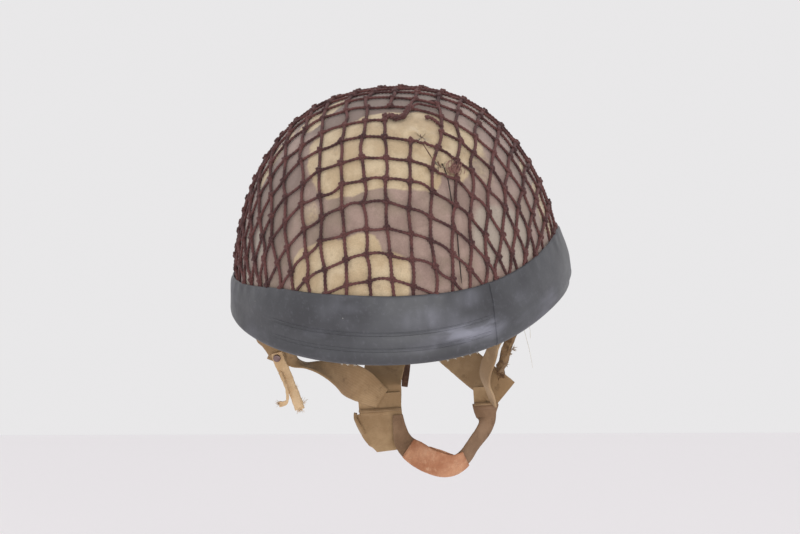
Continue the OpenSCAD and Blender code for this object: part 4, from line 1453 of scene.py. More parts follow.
@dataclass
class Strap:
    """A strap of web or leather along its route.

    Each row of the route holds a place, the way that the strap faces there, and its width.
    """

    name: str
    route: Route
    thickness: float = 1.8
    steps: int = 14
    ripple: float = 0.35
    off: float = 0.0

    def line(self) -> Line:
        """Draw the strap's middle line, rounded at the rows of its route.

        Returns:
            Its points, each with the way it faces and its width.
        """
        stops = [(Vector(row[:3]), Vector(row[3:6]), row[6]) for row in self.route]
        joints = [[mix(a, b, 0.5) for a, b in zip(*pair)] for pair in zip(stops, stops[1:])]
        joints[0], joints[-1] = stops[0], stops[-1]
        points = []
        for k in range(1, len(stops) - 1):
            legs = list(zip(joints[k - 1], stops[k], joints[k]))
            for s in range(self.steps + (k == len(stops) - 2)):
                share = s / self.steps
                points.append(tuple(mix(mix(a, b, share), mix(b, c, share), share) for a, b, c in legs))
        return points

    def ring(self, line: Line, k: int, run: float) -> list[Vector]:
        """Draw the strap's section, a flat oval with full edges.

        Args:
            line: The strap's middle line.
            k: Number of its point.
            run: Its length up to there.

        Returns:
            The section.
        """
        ahead = (line[min(k + 1, len(line) - 1)][0] - line[max(k - 1, 0)][0]).normalized()
        across = line[k][1].cross(ahead).normalized()
        out = ahead.cross(across)
        wave = self.ripple * noise.noise(Vector((run / 9, 0.3, len(self.name))))
        half = line[k][2] / 2 + 0.5 * self.ripple * noise.noise(Vector((run / 3, 4.1, len(self.name))))
        middle = line[k][0] + out * (self.off + wave * 0.3)
        ring = []
        edge = [(1.0, 0.18), (0.97, 0.62), (0.88, 0.98), (0.6, 1.0), (0.3, 1.02)]
        face = edge + [(0.0, 1.03)] + [(-x, y) for x, y in reversed(edge)]
        for x, y in face + [(-x, -y) for x, y in face]:
            sway = 0.35 * self.ripple * sin(run / 5 + x * 4)
            ring.append(middle + across * (half * x) + out * (self.thickness / 2 * y * 0.96 + sway * abs(x)))
        return ring

    def skin(self, line: Line) -> Skin:
        """Sweep the strap along a line.

        Args:
            line: Its middle line.

        Returns:
            Its mesh.
        """
        run = 0.0
        rings = []
        for k in range(len(line)):
            run += (line[k][0] - line[k - 1][0]).length if k else 0.0
            rings.append(self.ring(line, k, run))
        return Skin().sweep(rings)

    def piece(self) -> Piece:
        """Return the strap as a piece."""
        return self.skin(self.line()).piece(self.name, 55)


@dataclass
class Threads:
    """Loose fibres that stand out of a torn edge."""

    name: str
    seed: int
    radius: float = 0.22

    def piece(self, tufts: list[tuple[Point, Point, float, int]]) -> Piece:
        """Make the fibres.

        Args:
            tufts: Place, direction, length and number of fibres of each.

        Returns:
            The fibres as one piece.
        """
        chance = random.Random(self.seed)
        skin = Skin()
        for place, toward, length, count in tufts:
            for _ in range(count):
                spread = self.stray(chance)
                start = Vector(place) + spread * length * 0.12
                ahead = (Vector(toward).normalized() + spread * 0.35).normalized()
                curl = self.stray(chance) * length * 0.22
                reach = length * chance.uniform(0.5, 1.2)
                bends = [start, start + ahead * reach * 0.5 + curl * 0.4, start + ahead * reach + curl]
                path = smooth_path(bends, 4)
                thinning = [self.radius * (1 - 0.75 * k / len(path)) for k in range(len(path))]
                skin.thread(path, (0.3, 0.2, 1.0), thinning, 3)
        return skin.piece(self.name)

    def stray(self, chance: random.Random) -> Vector:
        """Return a chance direction and length, about 1 in each axis."""
        return Vector((chance.gauss(0, 1), chance.gauss(0, 1), chance.gauss(0, 1)))


@dataclass
class Harness(Assembly):
    """The web harness: side straps, nape straps, junctions, torn and frayed ends."""

    web_x: float = 110.0
    web_y: float = 130.8
    rivet_z: float = 15.0
    layer: float = 2.1
    junction_y: float = 72.0
    loop_radius: float = 3.1
    loop_start: float = -224.0
    loop_turn: float = 162.0
    plate_low: float = -97.0
    plate_high: float = -84.0
    strip: Trail = (
        (1, -0.3), (1, 0.3), (0.94, 0.7), (-0.94, 0.7), (-1, 0.3), (-1, -0.3), (-0.94, -0.7), (0.94, -0.7))

    def routes(self) -> dict[str, Route]:
        """List the routes of the straps, each from what carries it to its end.

        Returns:
            The route of each strap by name.
        """
        x, z, y, layer = self.web_x, self.rivet_z, self.web_y, self.layer
        join = self.junction_y
        return {
            "left_side_strap": (
                (x, 0, z + 10, -1, 0, 0, 19), (x, 0, z, -1, 0, 0, 19), (x, 0, z - 10, -1, 0, 0, 19),
                (98, 7, -3, -0.9, -0.3, 0, 19), (82, 14, -13, -0.9, -0.3, 0.2, 18),
                (69, 22, -32, -0.95, -0.3, 0.1, 14), (64.5, 28, -46, -0.85, -0.5, 0, 14),
                (59, 36, -59, -0.8, -0.6, 0, 14), (57.5, 47, -73, -0.8, -0.6, 0, 14),
                (61.5, 58, -85, -0.8, -0.6, 0, 13), (63, 65, -96.5, -0.8, -0.5, 0, 10)),
            "right_hanger_web": (
                (-x, 0, z + 10, 1, 0, 0, 16), (-x, 0, z, 1, 0, 0, 16), (-x, 0, z - 10, 1, 0, 0, 16),
                (-107, 3, -10, 0.8, -0.5, 0, 16), (-102.0, 12, -20, 0, -1, 0, 14),
                (-97.5, 12, -31, 0, -1, 0, 12), (-94, 12, -39, 0, -1, 0, 8)),
            "right_side_strap": (
                (-103, 12 + layer, -29, 0, -1, 0, 12), (-97.5, 12 + layer, -32, 0, -1, 0, 12),
                (-90, 13.5, -34, 0, -1, 0.1, 11), (-79, 26, -45, 0.1, -0.15, 1, 11),
                (-66, 37, -51.5, 0, -0.75, 0.65, 15), (-54, 50, -61, 0, -0.85, 0.5, 23),
                (-44, 64, -72, 0, -1, 0.2, 28), (-36, join - layer, -80, 0, -1, 0, 26),
                (-25, join - layer, -88, 0, -1, 0, 18)),
            "left_nape_strap": (
                (3, y, z + 9, 0, -1, 0, 27), (3, y, z, 0, -1, 0, 27), (3, y, z - 9, 0, -1, 0, 27),
                (12, 126, -30, -0.1, -1, 0.2, 27), (24, 112, -56, -0.5, -0.8, 0.4, 27),
                (40, 98, -68, -0.5, -0.8, 0.4, 27), (53, 84, -77, -0.4, -0.9, 0.3, 27),
                (63, join - layer - 0.4, -81.5, 0, -1, 0, 26),
                (73, join - layer - 0.4, -90.5, 0, -1, 0, 25)),
            "right_nape_strap": (
                (-3, y - layer, z + 9, 0, -1, 0, 32), (-3, y - layer, z, 0, -1, 0, 32),
                (-3, y - layer, z - 9, 0, -1, 0, 32), (-10, 117, -30, -0.1, -1, 0.2, 32),
                (-18, 108, -56, 0, -0.8, 0.6, 32), (-22, 94, -68, 0, -0.7, 0.7, 32),
                (-25, join + layer + 0.1, -75, 0, -1, 0, 32), (-25, join + layer + 0.1, -84, 0, -1, 0, 32),
                (-26, join + layer + 0.1, -93, 0, -1, 0, 32)),
            "frayed_strap": (
                (84, 14, -20, -0.6, -0.8, 0, 6), (79, 14, -30, -0.6, -0.8, 0, 7),
                (75.5, 19, -42, -0.7, -0.7, 0, 7.5), (72.5, 30, -54, -0.8, -0.6, 0, 7),
                (70, 50, -64, -0.8, -0.6, 0, 6.5), (70.5, join + 0.2, -69, -0.5, -1, 0, 6),
                (71.5, join + 0.2, -80, 0, -1, 0, 6)),
            "leather_keeper": (
                (-3.5, 101, -62, 0.2, -1, 0.4, 6), (-5, 95, -72, 0.2, -1, 0.5, 6.5),
                (-7, 86, -84, 0.2, -1, 0.4, 5)),
            "torn_strap": (
                (-97.5, 9.9, -29, 0, -1, 0, 8), (-96.0, 9.9, -37, 0, -1, 0, 9.5),
                (-93, 9.9, -43, 0, -1, 0, 9), (-90, 9.9, -52, 0.2, -1, 0, 7.5),
                (-86.5, 8.9, -62, 0.1, -1, 0, 7.5), (-83.5, 7.9, -74, -0.2, -1, 0, 8)),
            "torn_strand": (
                (-96, 8, -44, 0, -1, 0, 3), (-93, 6.8, -52, 0.3, -1, 0, 2.4),
                (-91.4, 6.3, -60, 0, -1, 0, 2), (-92.5, 6.3, -69, 0, -1, 0, 2.6),
                (-98.5, 6.8, -68.5, 0, -1, 0, 5)),
        }

    def build(self) -> None:
        """Make the straps, the junctions and the frayed edges."""
        routes = self.routes()
        for name, route in routes.items():
            if name.startswith(("left_", "right_")):
                self.place(Strap("web_" + name, route).piece(), "web", "harness_web", name)
        frayed = Strap("worn_frayed_strap", routes["frayed_strap"], 4.4, ripple=1.3)
        self.place(frayed.piece(), "brown", "brown_leather", "frayed_strap")
        keeper = Strap("dark_leather_keeper", routes["leather_keeper"], 2.0)
        self.place(keeper.piece(), "dark", "dark_leather", "leather_keeper")
        for name in ("torn_strap", "torn_strand"):
            torn = Strap("web_" + name, routes[name], ripple=0.8)
            self.place(torn.piece(), "torn", "harness_web", name, body="torn_tail")
        self.build_junctions()
        self.build_frays()
        self.build_lint()

    def build_junctions(self) -> None:
        """Make the loops of web in which the chin loop hangs."""
        for name, x, width in (("left_junction_loop", 57.5, 19.0), ("right_junction_loop", -27.0, 34.0)):
            hub = Vector((x, HINGE_Y, HINGE_Z))
            turns = [radians(self.loop_start - self.loop_turn * k / 20) for k in range(21)]
            loop = [hub + Vector((0, cos(turn), sin(turn))) * self.loop_radius for turn in turns]
            heights = [mix(self.plate_low, self.plate_high, k / 6) for k in range(7)]
            plate = [Vector((x, self.junction_y, height)) for height in heights]
            skin = Skin()
            skin.sweep([self.edge_ring(point, width, (point - hub).normalized()) for point in loop])
            skin.sweep([self.edge_ring(point, width, Vector((0, 1, 0))) for point in plate])
            self.place(skin.piece("web_" + name, 50), "web", "harness_web", name)

    def edge_ring(self, point: Vector, width: float, away: Vector) -> list[Vector]:
        """Return a level strip's section, with rounded edges."""
        return [point + Vector((side * width / 2, 0, 0)) + away * lift for side, lift in self.strip]

    def build_frays(self) -> None:
        """Make the fibres at the torn ends."""
        fibres = Threads("torn_strap_fibres", 3).piece([
            ((-84, 8, -73), (0.1, 0, -1), 3.5, 40), ((-81.5, 8, -70), (1, 0, 0.8), 4, 16),
            ((-92.5, 9, -49), (-1, 0, -0.4), 3, 14), ((-98.5, 7, -68.5), (-1, 0, 0.4), 3, 24),
            ((-86, 9, -57), (1, 0, 0.4), 2.5, 12)])
        self.place(fibres, "torn", "harness_web", body="torn_tail")
        fibres = Threads("frayed_strap_fibres", 5).piece([
            ((80.5, 14, -39), (1, -0.2, 0.1), 2.8, 24), ((78, 17, -43), (1, 0, -0.2), 1.8, 14),
            ((78, 15, -31), (-1, 0, 0), 1.6, 12), ((75, 32, -56), (1, 0, 0), 1.8, 12)])
        self.place(fibres, "web", "brown_leather")

    def build_lint(self) -> None:
        """Make the tufts and the long loose threads under the rubber band's edge."""
        tufts = []
        for angle in (-107, -105, -102.5, -76, -73.5, -71, -68.5, -66, -63.5):
            turn = radians(angle)
            place = DOME.wall(turn, BAND.lower(turn) + 0.3, 0.5)
            tufts.append((tuple(place), (0.5, -0.7, -0.3), 1.4, 18))
        self.place(Threads("brim_lint", 8, 0.15).piece(tufts), "lint", "lace_cord")
        skin = Skin()
        trails = (((88.5, -10), (89.8, -17.8), (92.4, -31.3), (94.0, -44.7)),
                  ((92.5, -8), (93.6, -15), (93.6, -22)))
        for trail in trails:
            skin.thread(smooth_path([Vector((x, -20, z)) for x, z in trail], 6), (0.2, -1.0, 0.1), 0.2, 4)
        self.place(skin.piece("brim_loose_threads"), "lint", "lace_cord")


@dataclass
class ChinLoop(Assembly):
    """The chin strap, the chin web under the right junction, and the leather cup with its lining."""

    roll_radius: float = 2.2
    roll_end_radius: float = 1.8
    cup_off: float = 1.95
    strap_route: Route = (
        (57, 70, -98, 0, -1, 0, 21), (56.5, 69.6, -104, 0.1, -1, 0, 18.5),
        (57.8, 68.3, -110, 0.35, -0.9, 0, 14.5), (55.5, 65, -116.5, 0.6, -0.75, 0, 15.5),
        (45.7, 57, -126, 0.75, -0.65, -0.1, 16), (38, 50.5, -135.5, 0.5, -0.8, -0.3, 17),
        (27, 45, -139, 0.2, -0.9, -0.4, 18), (14, 45, -135, 0, -0.9, -0.3, 19),
        (3, 52, -131, 0, -0.95, 0, 19), (-8.5, 60.5, -126, 0, -0.96, 0.28, 17),
        (-12.5, 63.6, -114, 0, -0.96, 0.28, 11), (-13, 65.2, -101, 0, -0.96, 0.28, 8))
    web_route: Route = (
        (-28, 69.5, -99, 0, -1, 0, 36), (-27.5, 68, -108, 0, -1, 0, 37),
        (-24, 66.5, -118, 0, -0.96, 0.28, 33), (-21.8, 65.4, -125, 0, -0.96, 0.28, 26),
        (-21.5, 64.6, -130, 0, -0.96, 0.28, 21))
    edge_route: Route = (
        (-46.8, 70, -99, -1, -0.1, 0, 3), (-48, 70, -102.5, -1, -0.1, 0, 8),
        (-45.5, 68.5, -108, -1, -0.2, 0, 8), (-41, 66.5, -116, -0.8, -0.6, 0, 4))

    def build(self) -> None:
        """Make the loop's four pieces and the wide web's turned-over edge."""
        strap = Strap("web_chin_strap", self.strap_route, 1.5)
        # The chin strap takes the darker copy of the web, painted shade
        self.with_roll(strap, 57.5, 17.0, "shaded", "chin_strap")
        self.with_roll(Strap("web_chin_web", self.web_route), -27.0, 32.0, "web", "chin_web")
        line = Strap("", self.strap_route, steps=8).line()
        self.build_cup("leather_chin_cup", line[36:67], 17.0, 23.5, self.cup_off, "chin_cup")
        self.build_cup("chin_cup_inner", line[42:60], 16.0, 22.0, -self.cup_off, "chin_cup_lining")
        edge = Strap("web_turned_edge", self.edge_route, 2.6)
        self.place(edge.piece(), "web", "harness_web", body="chin_loop")

    def with_roll(self, strap: Strap, x: float, width: float, finish: str, node: str) -> None:
        """Make a strap whose upper end is rolled up in the junction's loop.

        Args:
            strap: The strap below the roll.
            x: Middle of the roll.
            width: Width of the roll.
            finish: Name of its finish.
            node: The solid that it replaces.
        """
        skin = strap.skin(strap.line())
        roll = []
        for share in (0.0, 0.02, 0.5, 0.98, 1.0):
            radius = self.roll_radius if 0 < share < 1 else self.roll_end_radius
            middle = Vector((x + width * (share - 0.5), HINGE_Y, HINGE_Z))
            roll.append(round_ring(middle, Vector((0, 1, 0)), Vector((0, 0, 1)), radius, 16))
        skin.sweep(roll)
        self.place(skin.piece(strap.name, 55), finish, "harness_web", node, body="chin_loop")

    def build_cup(self, name: str, line: Line, narrow: float, wide: float, off: float, node: str) -> None:
        """Make a layer of the chin cup, widest at its middle.

        Args:
            name: Its name.
            line: Its stretch of the chin strap's line.
            narrow: Width at its ends.
            wide: Width at its middle.
            off: How far it lies off the strap.
            node: The solid that it replaces.
        """
        shaped = []
        for k, (place, face, _) in enumerate(line):
            swell = sin(pi * k / (len(line) - 1)) ** 0.8
            shaped.append((place, face, narrow + (wide - narrow) * swell))
        layer = Strap(name, (), 1.5, ripple=0.5, off=off)
        self.place(layer.skin(shaped).piece(name), "cup", "cup_leather", node, body="chin_loop")


@dataclass
class Hardware(Assembly):
    """Rivets with domed heads, and the finish of the metal that stays as it is."""

    rivet_radius: float = 3.6
    rivet_dome: float = 1.1
    shank_radius: float = 2.0
    shank_end: float = 0.4
    head_round: float = 0.8
    kept: dict[str, tuple[str, ...]] = field(default_factory=lambda: {
        "steel_paint": ("steel_shell",), "fibre": ("headband_frame",),
        "steel": ("harness_spacers", "left_hanger", "right_hanger", "rear_hanger"),
        "brass": ("harness_bolts", "harness_nuts")})

    def rivet(self, name: str, place: Point, axis: Point, length: float, head: float) -> Piece:
        """Model one rivet: a shank between two heads with rounded edges.

        Args:
            name: Its name.
            place: Middle of the shank.
            axis: Direction of the shank.
            length: Distance between the heads.
            head: Radius of the heads.

        Returns:
            The rivet.
        """
        choose()
        turn = Vector((0, 0, 1)).rotation_difference(Vector(axis)).to_matrix().to_4x4()
        parts = []
        heads = [(head, self.rivet_dome, side) for side in (1, -1)]
        for radius, depth, shift in [(self.shank_radius, length + self.shank_end, 0), *heads]:
            bpy.ops.mesh.primitive_cylinder_add(vertices=32, radius=radius * MM, depth=depth * MM)
            part = bpy.context.active_object
            if shift:
                bpy.ops.object.mode_set(mode="EDIT")
                bpy.ops.mesh.select_all(action="DESELECT")
                bpy.ops.object.mode_set(mode="OBJECT")
                for polygon in part.data.polygons:
                    polygon.select = polygon.normal.z * shift > 0.9
                bpy.ops.object.mode_set(mode="EDIT")
                bpy.ops.mesh.bevel(offset=self.head_round * MM, segments=4, affect="EDGES")
                bpy.ops.object.mode_set(mode="OBJECT")
            lift = shift * (length + self.rivet_dome) / 2
            part.data.transform(turn @ Matrix.Translation((0, 0, lift * MM)))
            parts.append(part)
        choose(*parts)
        bpy.ops.object.join()
        piece = bpy.context.active_object
        piece.name = name
        piece.data.transform(Matrix.Translation(Vector(place) * MM))
        bpy.ops.object.shade_smooth_by_angle(angle=radians(40))
        return piece

    def build(self, nodes: dict[str, Piece]) -> None:
        """Make the rivets and dress the solids that stay as they are.

        Args:
            nodes: The frame's solids by name.
        """
        head = self.rivet_radius
        plans = (("left", (111.0, 0, 15), (1, 0, 0), 4.2), ("nape", (0, 130.8, 15), (0, 1, 0), 6.3),
                 ("right", (-111.0, 0, 15), (1, 0, 0), 4.2))
        for name, place, axis, length in plans:
            piece = self.rivet(name + "_strap_rivet", place, axis, length, head)
            self.place(piece, "brass", "fastener_brass", "strap_rivets")
        piece = self.rivet("tail_rivet", (-97.5, 12.0, -33), (0, 1, 0), 6.6, 0.8 * head)
        self.place(piece, "bronze", "plain_steel", "torn_strap_rivet")
        for finish, names in self.kept.items():
            for node in names:
                dress(nodes[node], self.finishes[finish])


@dataclass
class Liner(Assembly):
    """The sweatband with its lace, the crown tapes, and the sponge pads."""

    head_w: float = 158.0
    head_l: float = 196.0
    sweat_t: float = 2.5
    sweat_z: float = 21.0
    sweat_h: float = 38.0
    headband_t: float = 2.0
    tape_room: float = 2.6
    cradle_z: float = 134.0
    tape_w: float = 18.0
    lace_radius: float = 1.0
    stitches: int = 190
    pad_small: float = 0.7
    pad_low: float = 28.0
    pad_half: float = 13.0
    voxel: float = 2.6
    pad_cap: float = 0.66

    def build(self) -> None:
        """Make the liner's soft pieces."""
        self.build_sweatband()
        self.build_stitches()
        self.build_lace()
        self.build_tapes()
        self.build_pads()

    def oval(self, turn: float, off: float, z: float) -> Vector:
        """Return a place round the head, at a distance outside its oval."""
        half_w, half_l = self.head_w / 2 + off, self.head_l / 2 + off
        return Vector((half_w * cos(turn), half_l * sin(turn), z))

    def build_sweatband(self) -> None:
        """Make the leather sweatband, open at the nape, with a soft rolled section."""
        half_gap = degrees(6.0 / (self.head_l / 2))
        count = 150
        section = ((0.0, 0.35), (0.02, 0.05), (0.08, -0.02), (0.3, -0.12), (0.5, -0.2), (0.7, -0.12),
                   (0.92, 0.0), (0.98, 0.08), (1.0, 0.4), (1.0, 0.7), (0.97, 0.95), (0.7, 1.0), (0.3, 1.0),
                   (0.03, 0.95), (0.0, 0.7))
        rings = []
        for k in range(count + 1):
            turn = radians(90 + half_gap + (360 - 2 * half_gap) * k / count)
            out = Vector((cos(turn) / self.head_w, sin(turn) / self.head_l, 0)).normalized()
            ring = []
            for height, depth in section:
                pleat = 0.12 * sin(turn * 40) * (1 if depth < 0.3 else 0)
                inner = self.oval(turn, 0.0, self.sweat_z + self.sweat_h * height)
                ring.append(inner + out * (self.sweat_t * depth + pleat))
            rings.append(ring)
        band = Skin().sweep(rings).piece("leather_sweatband")
        self.place(band, "sweat", "sweatband_leather", "sweatband")

    def build_stitches(self) -> None:
        """Make the row of stitches under the sweatband's upper edge."""
        half = radians(0.55)
        z = self.sweat_z + self.sweat_h - 3.0
        skin = Skin()
        for k in range(self.stitches):
            turn = radians(96 + 348 * k / self.stitches)
            ends = [self.oval(turn + side * half, -0.35 if side == 0 else 0.15, z) for side in (-1, 0, 1)]
            skin.thread(ends, (0, 0, 1), 0.3, 4)
        self.place(skin.piece("sweatband_stitches"), "lace", "lace_cord")

    def build_lace(self) -> None:
        """Make the lace that draws the sweatband together at the nape."""
        skin = Skin()
        y = self.head_l / 2 - 4.2
        half = 13.0
        levels = [self.sweat_z + 6 + row * 8.5 for row in range(4)]
        curves = []
        for side in (-1, 1):
            path = []
            for row, level in enumerate(levels):
                x = half * side * (1 if row % 2 == 0 else -1)
                path.append(Vector((x, y - 0.5 + 0.2 * side, level)))
                path.append(Vector((x * 0.4, y - 0.9 - 0.3 * side, level + 3.0)))
            curves.append(smooth_path(path[:-1], 8))
        shares = [k / 8 - 1 for k in range(17)]
        curves.append([Vector((half * share, y - 0.4, levels[0] + 0.8 * cos(share * 1.5) - 0.8))
                       for share in shares])
        for curve in curves:
            skin.thread(curve, (0, -1, 0), self.lace_radius, 8, flat=0.7)
        for level in levels:
            for side in (-1, 1):
                peg = [Vector((half * side, y + depth, level)) for depth in (5.5, 1.0, -0.9)]
                skin.sweep([round_ring(point, Vector((1, 0, 0)), Vector((0, 0, 1)), self.lace_radius, 8)
                            for point in peg])
        self.place(skin.piece("sweatband_lacing"), "lace", "lace_cord", "sweatband_lace")

    def build_tapes(self) -> None:
        """Make the two crown tapes that cross over the head."""
        room = self.sweat_t + self.tape_room
        half_w, half_l = self.head_w / 2 + room, self.head_l / 2 + room
        start_z = 56.0
        section = ((1, 0.35), (0.9, 0.7), (0.3, 0.72), (-0.3, 0.72), (-0.9, 0.7), (-1, 0.35), (-1, -0.35),
                   (-0.9, -0.7), (-0.3, -0.7), (0.3, -0.7), (0.9, -0.7), (1, -0.35))
        for name, along, beside, top, node in (
                ("tape_lengthways", half_l, half_w, self.cradle_z, "crown_tape_long"),
                ("tape_crossways", half_w, half_l, self.cradle_z - 2.0, "crown_tape_cross")):
            sag = along * (1 - sqrt(1 - (self.tape_w / 2 / beside) ** 2))
            half_span = along - 0.3 - sag - 0.7
            points = [(half_span, start_z - 26), (half_span, start_z - 10)]
            for k in range(41):
                angle = pi * k / 40
                points.append((half_span * cos(angle), start_z + (top - 0.7 - start_z) * sin(angle)))
            points += [(-half_span, start_z - 10), (-half_span, start_z - 26)]
            rings = []
            for k, (reach, z) in enumerate(points):
                before, after = points[max(0, k - 1)], points[min(len(points) - 1, k + 1)]
                ahead = Vector((after[0] - before[0], after[1] - before[1])).normalized()
                ring = []
                for side, lift in section:
                    out, wide, tall = reach + ahead.y * lift, side * self.tape_w / 2, z - ahead.x * lift
                    place = (-wide, out, tall) if node == "crown_tape_long" else (out, wide, tall)
                    ring.append(Vector(place))
                rings.append(ring)
            self.place(Skin().sweep(rings).piece(name), "tape", "pale_tape", node)

    def pad_mesh(self, name: str, middle: float, spread: float) -> Piece:
        """Return a pad's plain shape between the headband and the shell, made a little small.

        Args:
            name: Its name.
            middle: Degrees that its middle is turned.
            spread: Half of the degrees that it spans.

        Returns:
            The pad.
        """
        small = self.pad_small
        off = self.sweat_t + self.tape_room + self.headband_t + 0.3 + small
        mid_z = self.pad_low + self.pad_half
        rings = []
        count = 10
        for k in range(count + 1):
            u = 2 * k / count - 1
            turn = radians(middle + spread * u * 0.97)
            full = sqrt(max(0.0, 1 - abs(u) ** 6))
            half = self.pad_half * (0.72 + 0.28 * full) - small
            squeeze = 1.5 * (1 - full)
            levels = [mid_z + share * half for share in (-1, 0, 1)]
            inner = [self.oval(turn, off + squeeze, z) for z in reversed(levels)]
            rings.append([DOME.wall(turn, z, -3.6 - squeeze - small) for z in levels] + inner)
        return Skin().sweep(rings).piece(name)

    def crown_mesh(self) -> Piece:
        """Make the crown pad's plain shape, a little small.

        Returns:
            The pad.
        """
        levels = ((34.5, 134.9), (37.0, 139.0), (37.2, 146.0), (36.0, 151.5), (20.0, 156.8), (6.0, 158.9))
        rings = [round_ring(Vector((0, 0, z)), Vector((1, 0, 0)), Vector((0, 1, 0)), radius, 40)
                 for radius, z in levels]
        return Skin().sweep(rings).piece("sponge_crown_pad")

    def build_pads(self) -> None:
        """Make the six sponge pads, swelled by a short cloth simulation."""
        plans = (("front_pad", -90, 15), ("front_left_pad", -38, 16), ("front_right_pad", -142, 16),
                 ("rear_left_pad", 42, 18), ("rear_right_pad", 138, 18))
        pads = {node: self.pad_mesh("sponge_" + node, middle, spread) for node, middle, spread in plans}
        pads["crown_pad"] = self.crown_mesh()
        for pad in pads.values():
            choose(pad)
            even = pad.modifiers.new("even", "REMESH")
            even.mode = "VOXEL"
            even.voxel_size = self.voxel * MM
            bpy.ops.object.modifier_apply(modifier=even.name)
        self.swell(list(pads.values()))
        for node, pad in pads.items():
            choose(pad)
            bpy.ops.object.shade_smooth()
            self.place(pad, "sponge", "pad_rubber", node)

    def swell(self, pads: list[Piece]) -> None:
        """Blow the pads up a little by a cloth simulation, and cap how far each point moves.

        Args:
            pads: The pads in their even mesh.
        """
        scene = bpy.context.scene
        steps = 14
        starts = {pad.name: [vertex.co.copy() for vertex in pad.data.vertices] for pad in pads}
        for pad in pads:
            cloth = pad.modifiers.new("swell", "CLOTH")
            cloth.settings.use_pressure = True
            cloth.settings.uniform_pressure_force = 4.0
            cloth.settings.quality = 4
            cloth.settings.effector_weights.gravity = 0.0
            cloth.point_cache.frame_start = 1
            cloth.point_cache.frame_end = steps
        for step in range(1, steps + 1):
            scene.frame_set(step)
        depsgraph = bpy.context.evaluated_depsgraph_get()
        for pad in pads:
            moved = []
            for start, vertex in zip(starts[pad.name], pad.evaluated_get(depsgraph).data.vertices):
                shift = vertex.co - start
                moved.append(start + shift.normalized() * min(shift.length, self.pad_cap * MM))
            pad.modifiers.clear()
            for vertex, place in zip(pad.data.vertices, moved):
                vertex.co = place
        scene.frame_set(1)


# The room: floor, light and camera


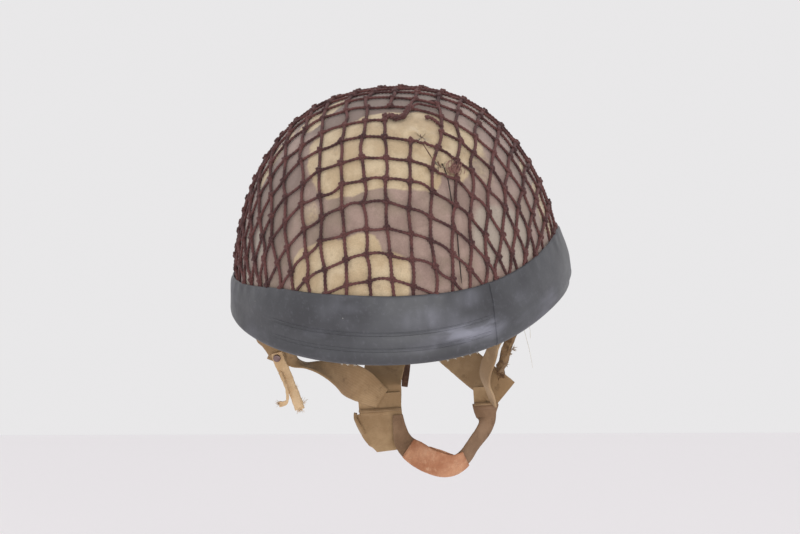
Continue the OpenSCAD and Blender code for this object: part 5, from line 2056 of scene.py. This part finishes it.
@dataclass
class Studio:
    """A plain pale floor, soft light and the camera at the photograph's angle."""

    floor_z: float = -0.60
    floor_back: float = 1.57
    floor_front: float = 3.4
    floor_width: float = 6.4
    floor_depth: float = 0.05
    distance: float = 1.248
    focus: Point = (0.0, 0.0, 0.0832)
    yaw: float = 3.05
    pitch: float = 10.1
    roll: float = -4.37
    aim_down: float = 2.233
    aim_side: float = 0.222
    lens: float = 76.5
    lamp_aim: float = 0.05

    def build(self) -> None:
        """Set up the floor, the light and the camera."""
        self.build_floor()
        self.build_light()
        self.build_camera()

    def build_floor(self) -> None:
        """Make a wide floor with a rounded rim, level in the camera's picture."""
        choose()
        bpy.ops.mesh.primitive_cube_add(size=1.0, location=(0, 0, 0))
        floor = bpy.context.active_object
        floor.name = "floor"
        middle = ((self.floor_back - self.floor_front) / 2, -self.floor_depth / 2)
        size = (self.floor_width, self.floor_back + self.floor_front, self.floor_depth, 1)
        floor.data.transform(Matrix.Translation((0, *middle)) @ Matrix.Diagonal(size))
        bpy.ops.object.mode_set(mode="EDIT")
        bpy.ops.mesh.select_all(action="SELECT")
        bpy.ops.mesh.bevel(offset=0.4 * self.floor_depth, segments=6, affect="EDGES")
        bpy.ops.object.mode_set(mode="OBJECT")
        bpy.ops.object.shade_smooth_by_angle(angle=radians(30))
        tilt = Matrix.Rotation(radians(self.roll), 4, self.view_line())
        turn = Matrix.Rotation(radians(self.yaw), 4, "Z")
        floor.data.transform(Matrix.Translation((0, 0, self.floor_z)) @ tilt @ turn)
        look = Look("pale_floor", roughness=0.9)
        soft = look.noise(1.5, 2)
        look.color = look.blend(soft, (243, 240, 242), (246, 243, 245))
        dress(floor, look.finish())

    def view_line(self) -> Vector:
        """Return the direction from the helmet to the camera, level with the ground."""
        turn = radians(self.yaw)
        return Vector((sin(turn), -cos(turn), 0))

    def lamp(self, name: str, place: Point, size: float, power: float, color: Point) -> None:
        """Add one large soft lamp, aimed at the helmet.

        Args:
            name: Its name.
            place: Where it hangs, in metres.
            size: Length of its sides, in metres.
            power: Its power in watts.
            color: Its red, green and blue.
        """
        light = bpy.data.lights.new(name, "AREA")
        light.size = size
        light.energy = power
        light.color = color
        lamp = bpy.data.objects.new(name, light)
        lamp.location = place
        aim = Vector((0, 0, self.lamp_aim)) - Vector(place)
        lamp.rotation_euler = aim.to_track_quat("-Z", "Y").to_euler()
        bpy.context.scene.collection.objects.link(lamp)

    def build_light(self) -> None:
        """Add the soft light of a pale room, a large lamp in front and a weak one above."""
        bpy.context.scene.view_settings.view_transform = "Standard"
        world = bpy.data.worlds.new("pale_room")
        bpy.context.scene.world = world
        world.use_nodes = True
        air = world.node_tree.nodes["Background"]
        air.inputs["Color"].default_value = paint((238, 237, 238))
        air.inputs["Strength"].default_value = 0.95
        self.lamp("front_light", (0.6, -2.6, 0.9), 1.8, 25.0, (1.0, 0.985, 0.965))
        self.lamp("top_light", (-0.3, -0.2, 1.9), 1.4, 3.5, (1.0, 1.0, 1.0))

    def build_camera(self) -> None:
        """Place the camera where the photograph was taken from."""
        view = (Matrix.Rotation(radians(self.yaw), 4, "Z")
                @ Matrix.Rotation(radians(90 - self.pitch), 4, "X"))
        back = view @ Vector((0, 0, 1))
        aim = (Matrix.Rotation(radians(self.roll), 4, "Z")
               @ Matrix.Rotation(radians(-self.aim_down), 4, "X")
               @ Matrix.Rotation(radians(-self.aim_side), 4, "Y"))
        camera = bpy.data.cameras.new("camera")
        camera.lens = self.lens
        camera.sensor_width = 36.0
        eye = bpy.data.objects.new("camera", camera)
        eye.matrix_world = Matrix.Translation(Vector(self.focus) + back * self.distance) @ view @ aim
        bpy.context.scene.collection.objects.link(eye)
        bpy.context.scene.camera = eye


def main() -> None:
    """Load the frame, then build the helmet from the dome outward and down to the chin."""
    logging.basicConfig(level=logging.INFO, format="%(message)s")
    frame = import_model()
    finishes = {name: look.material() for name, look in LOOKS.items()}
    Studio().build()
    Hardware(finishes).build(frame["nodes"])
    cover = ClothCover(finishes)
    cover.build()
    rest = [kind(finishes) for kind in (RubberBand, Harness, ChinLoop, Liner)]
    for assembly in (StringNet(finishes, cover), *rest):
        assembly.build()
        log.info("%s: built", type(assembly).__name__)
    log.info("the helmet is dressed")


if __name__ == "__main__":
    main()
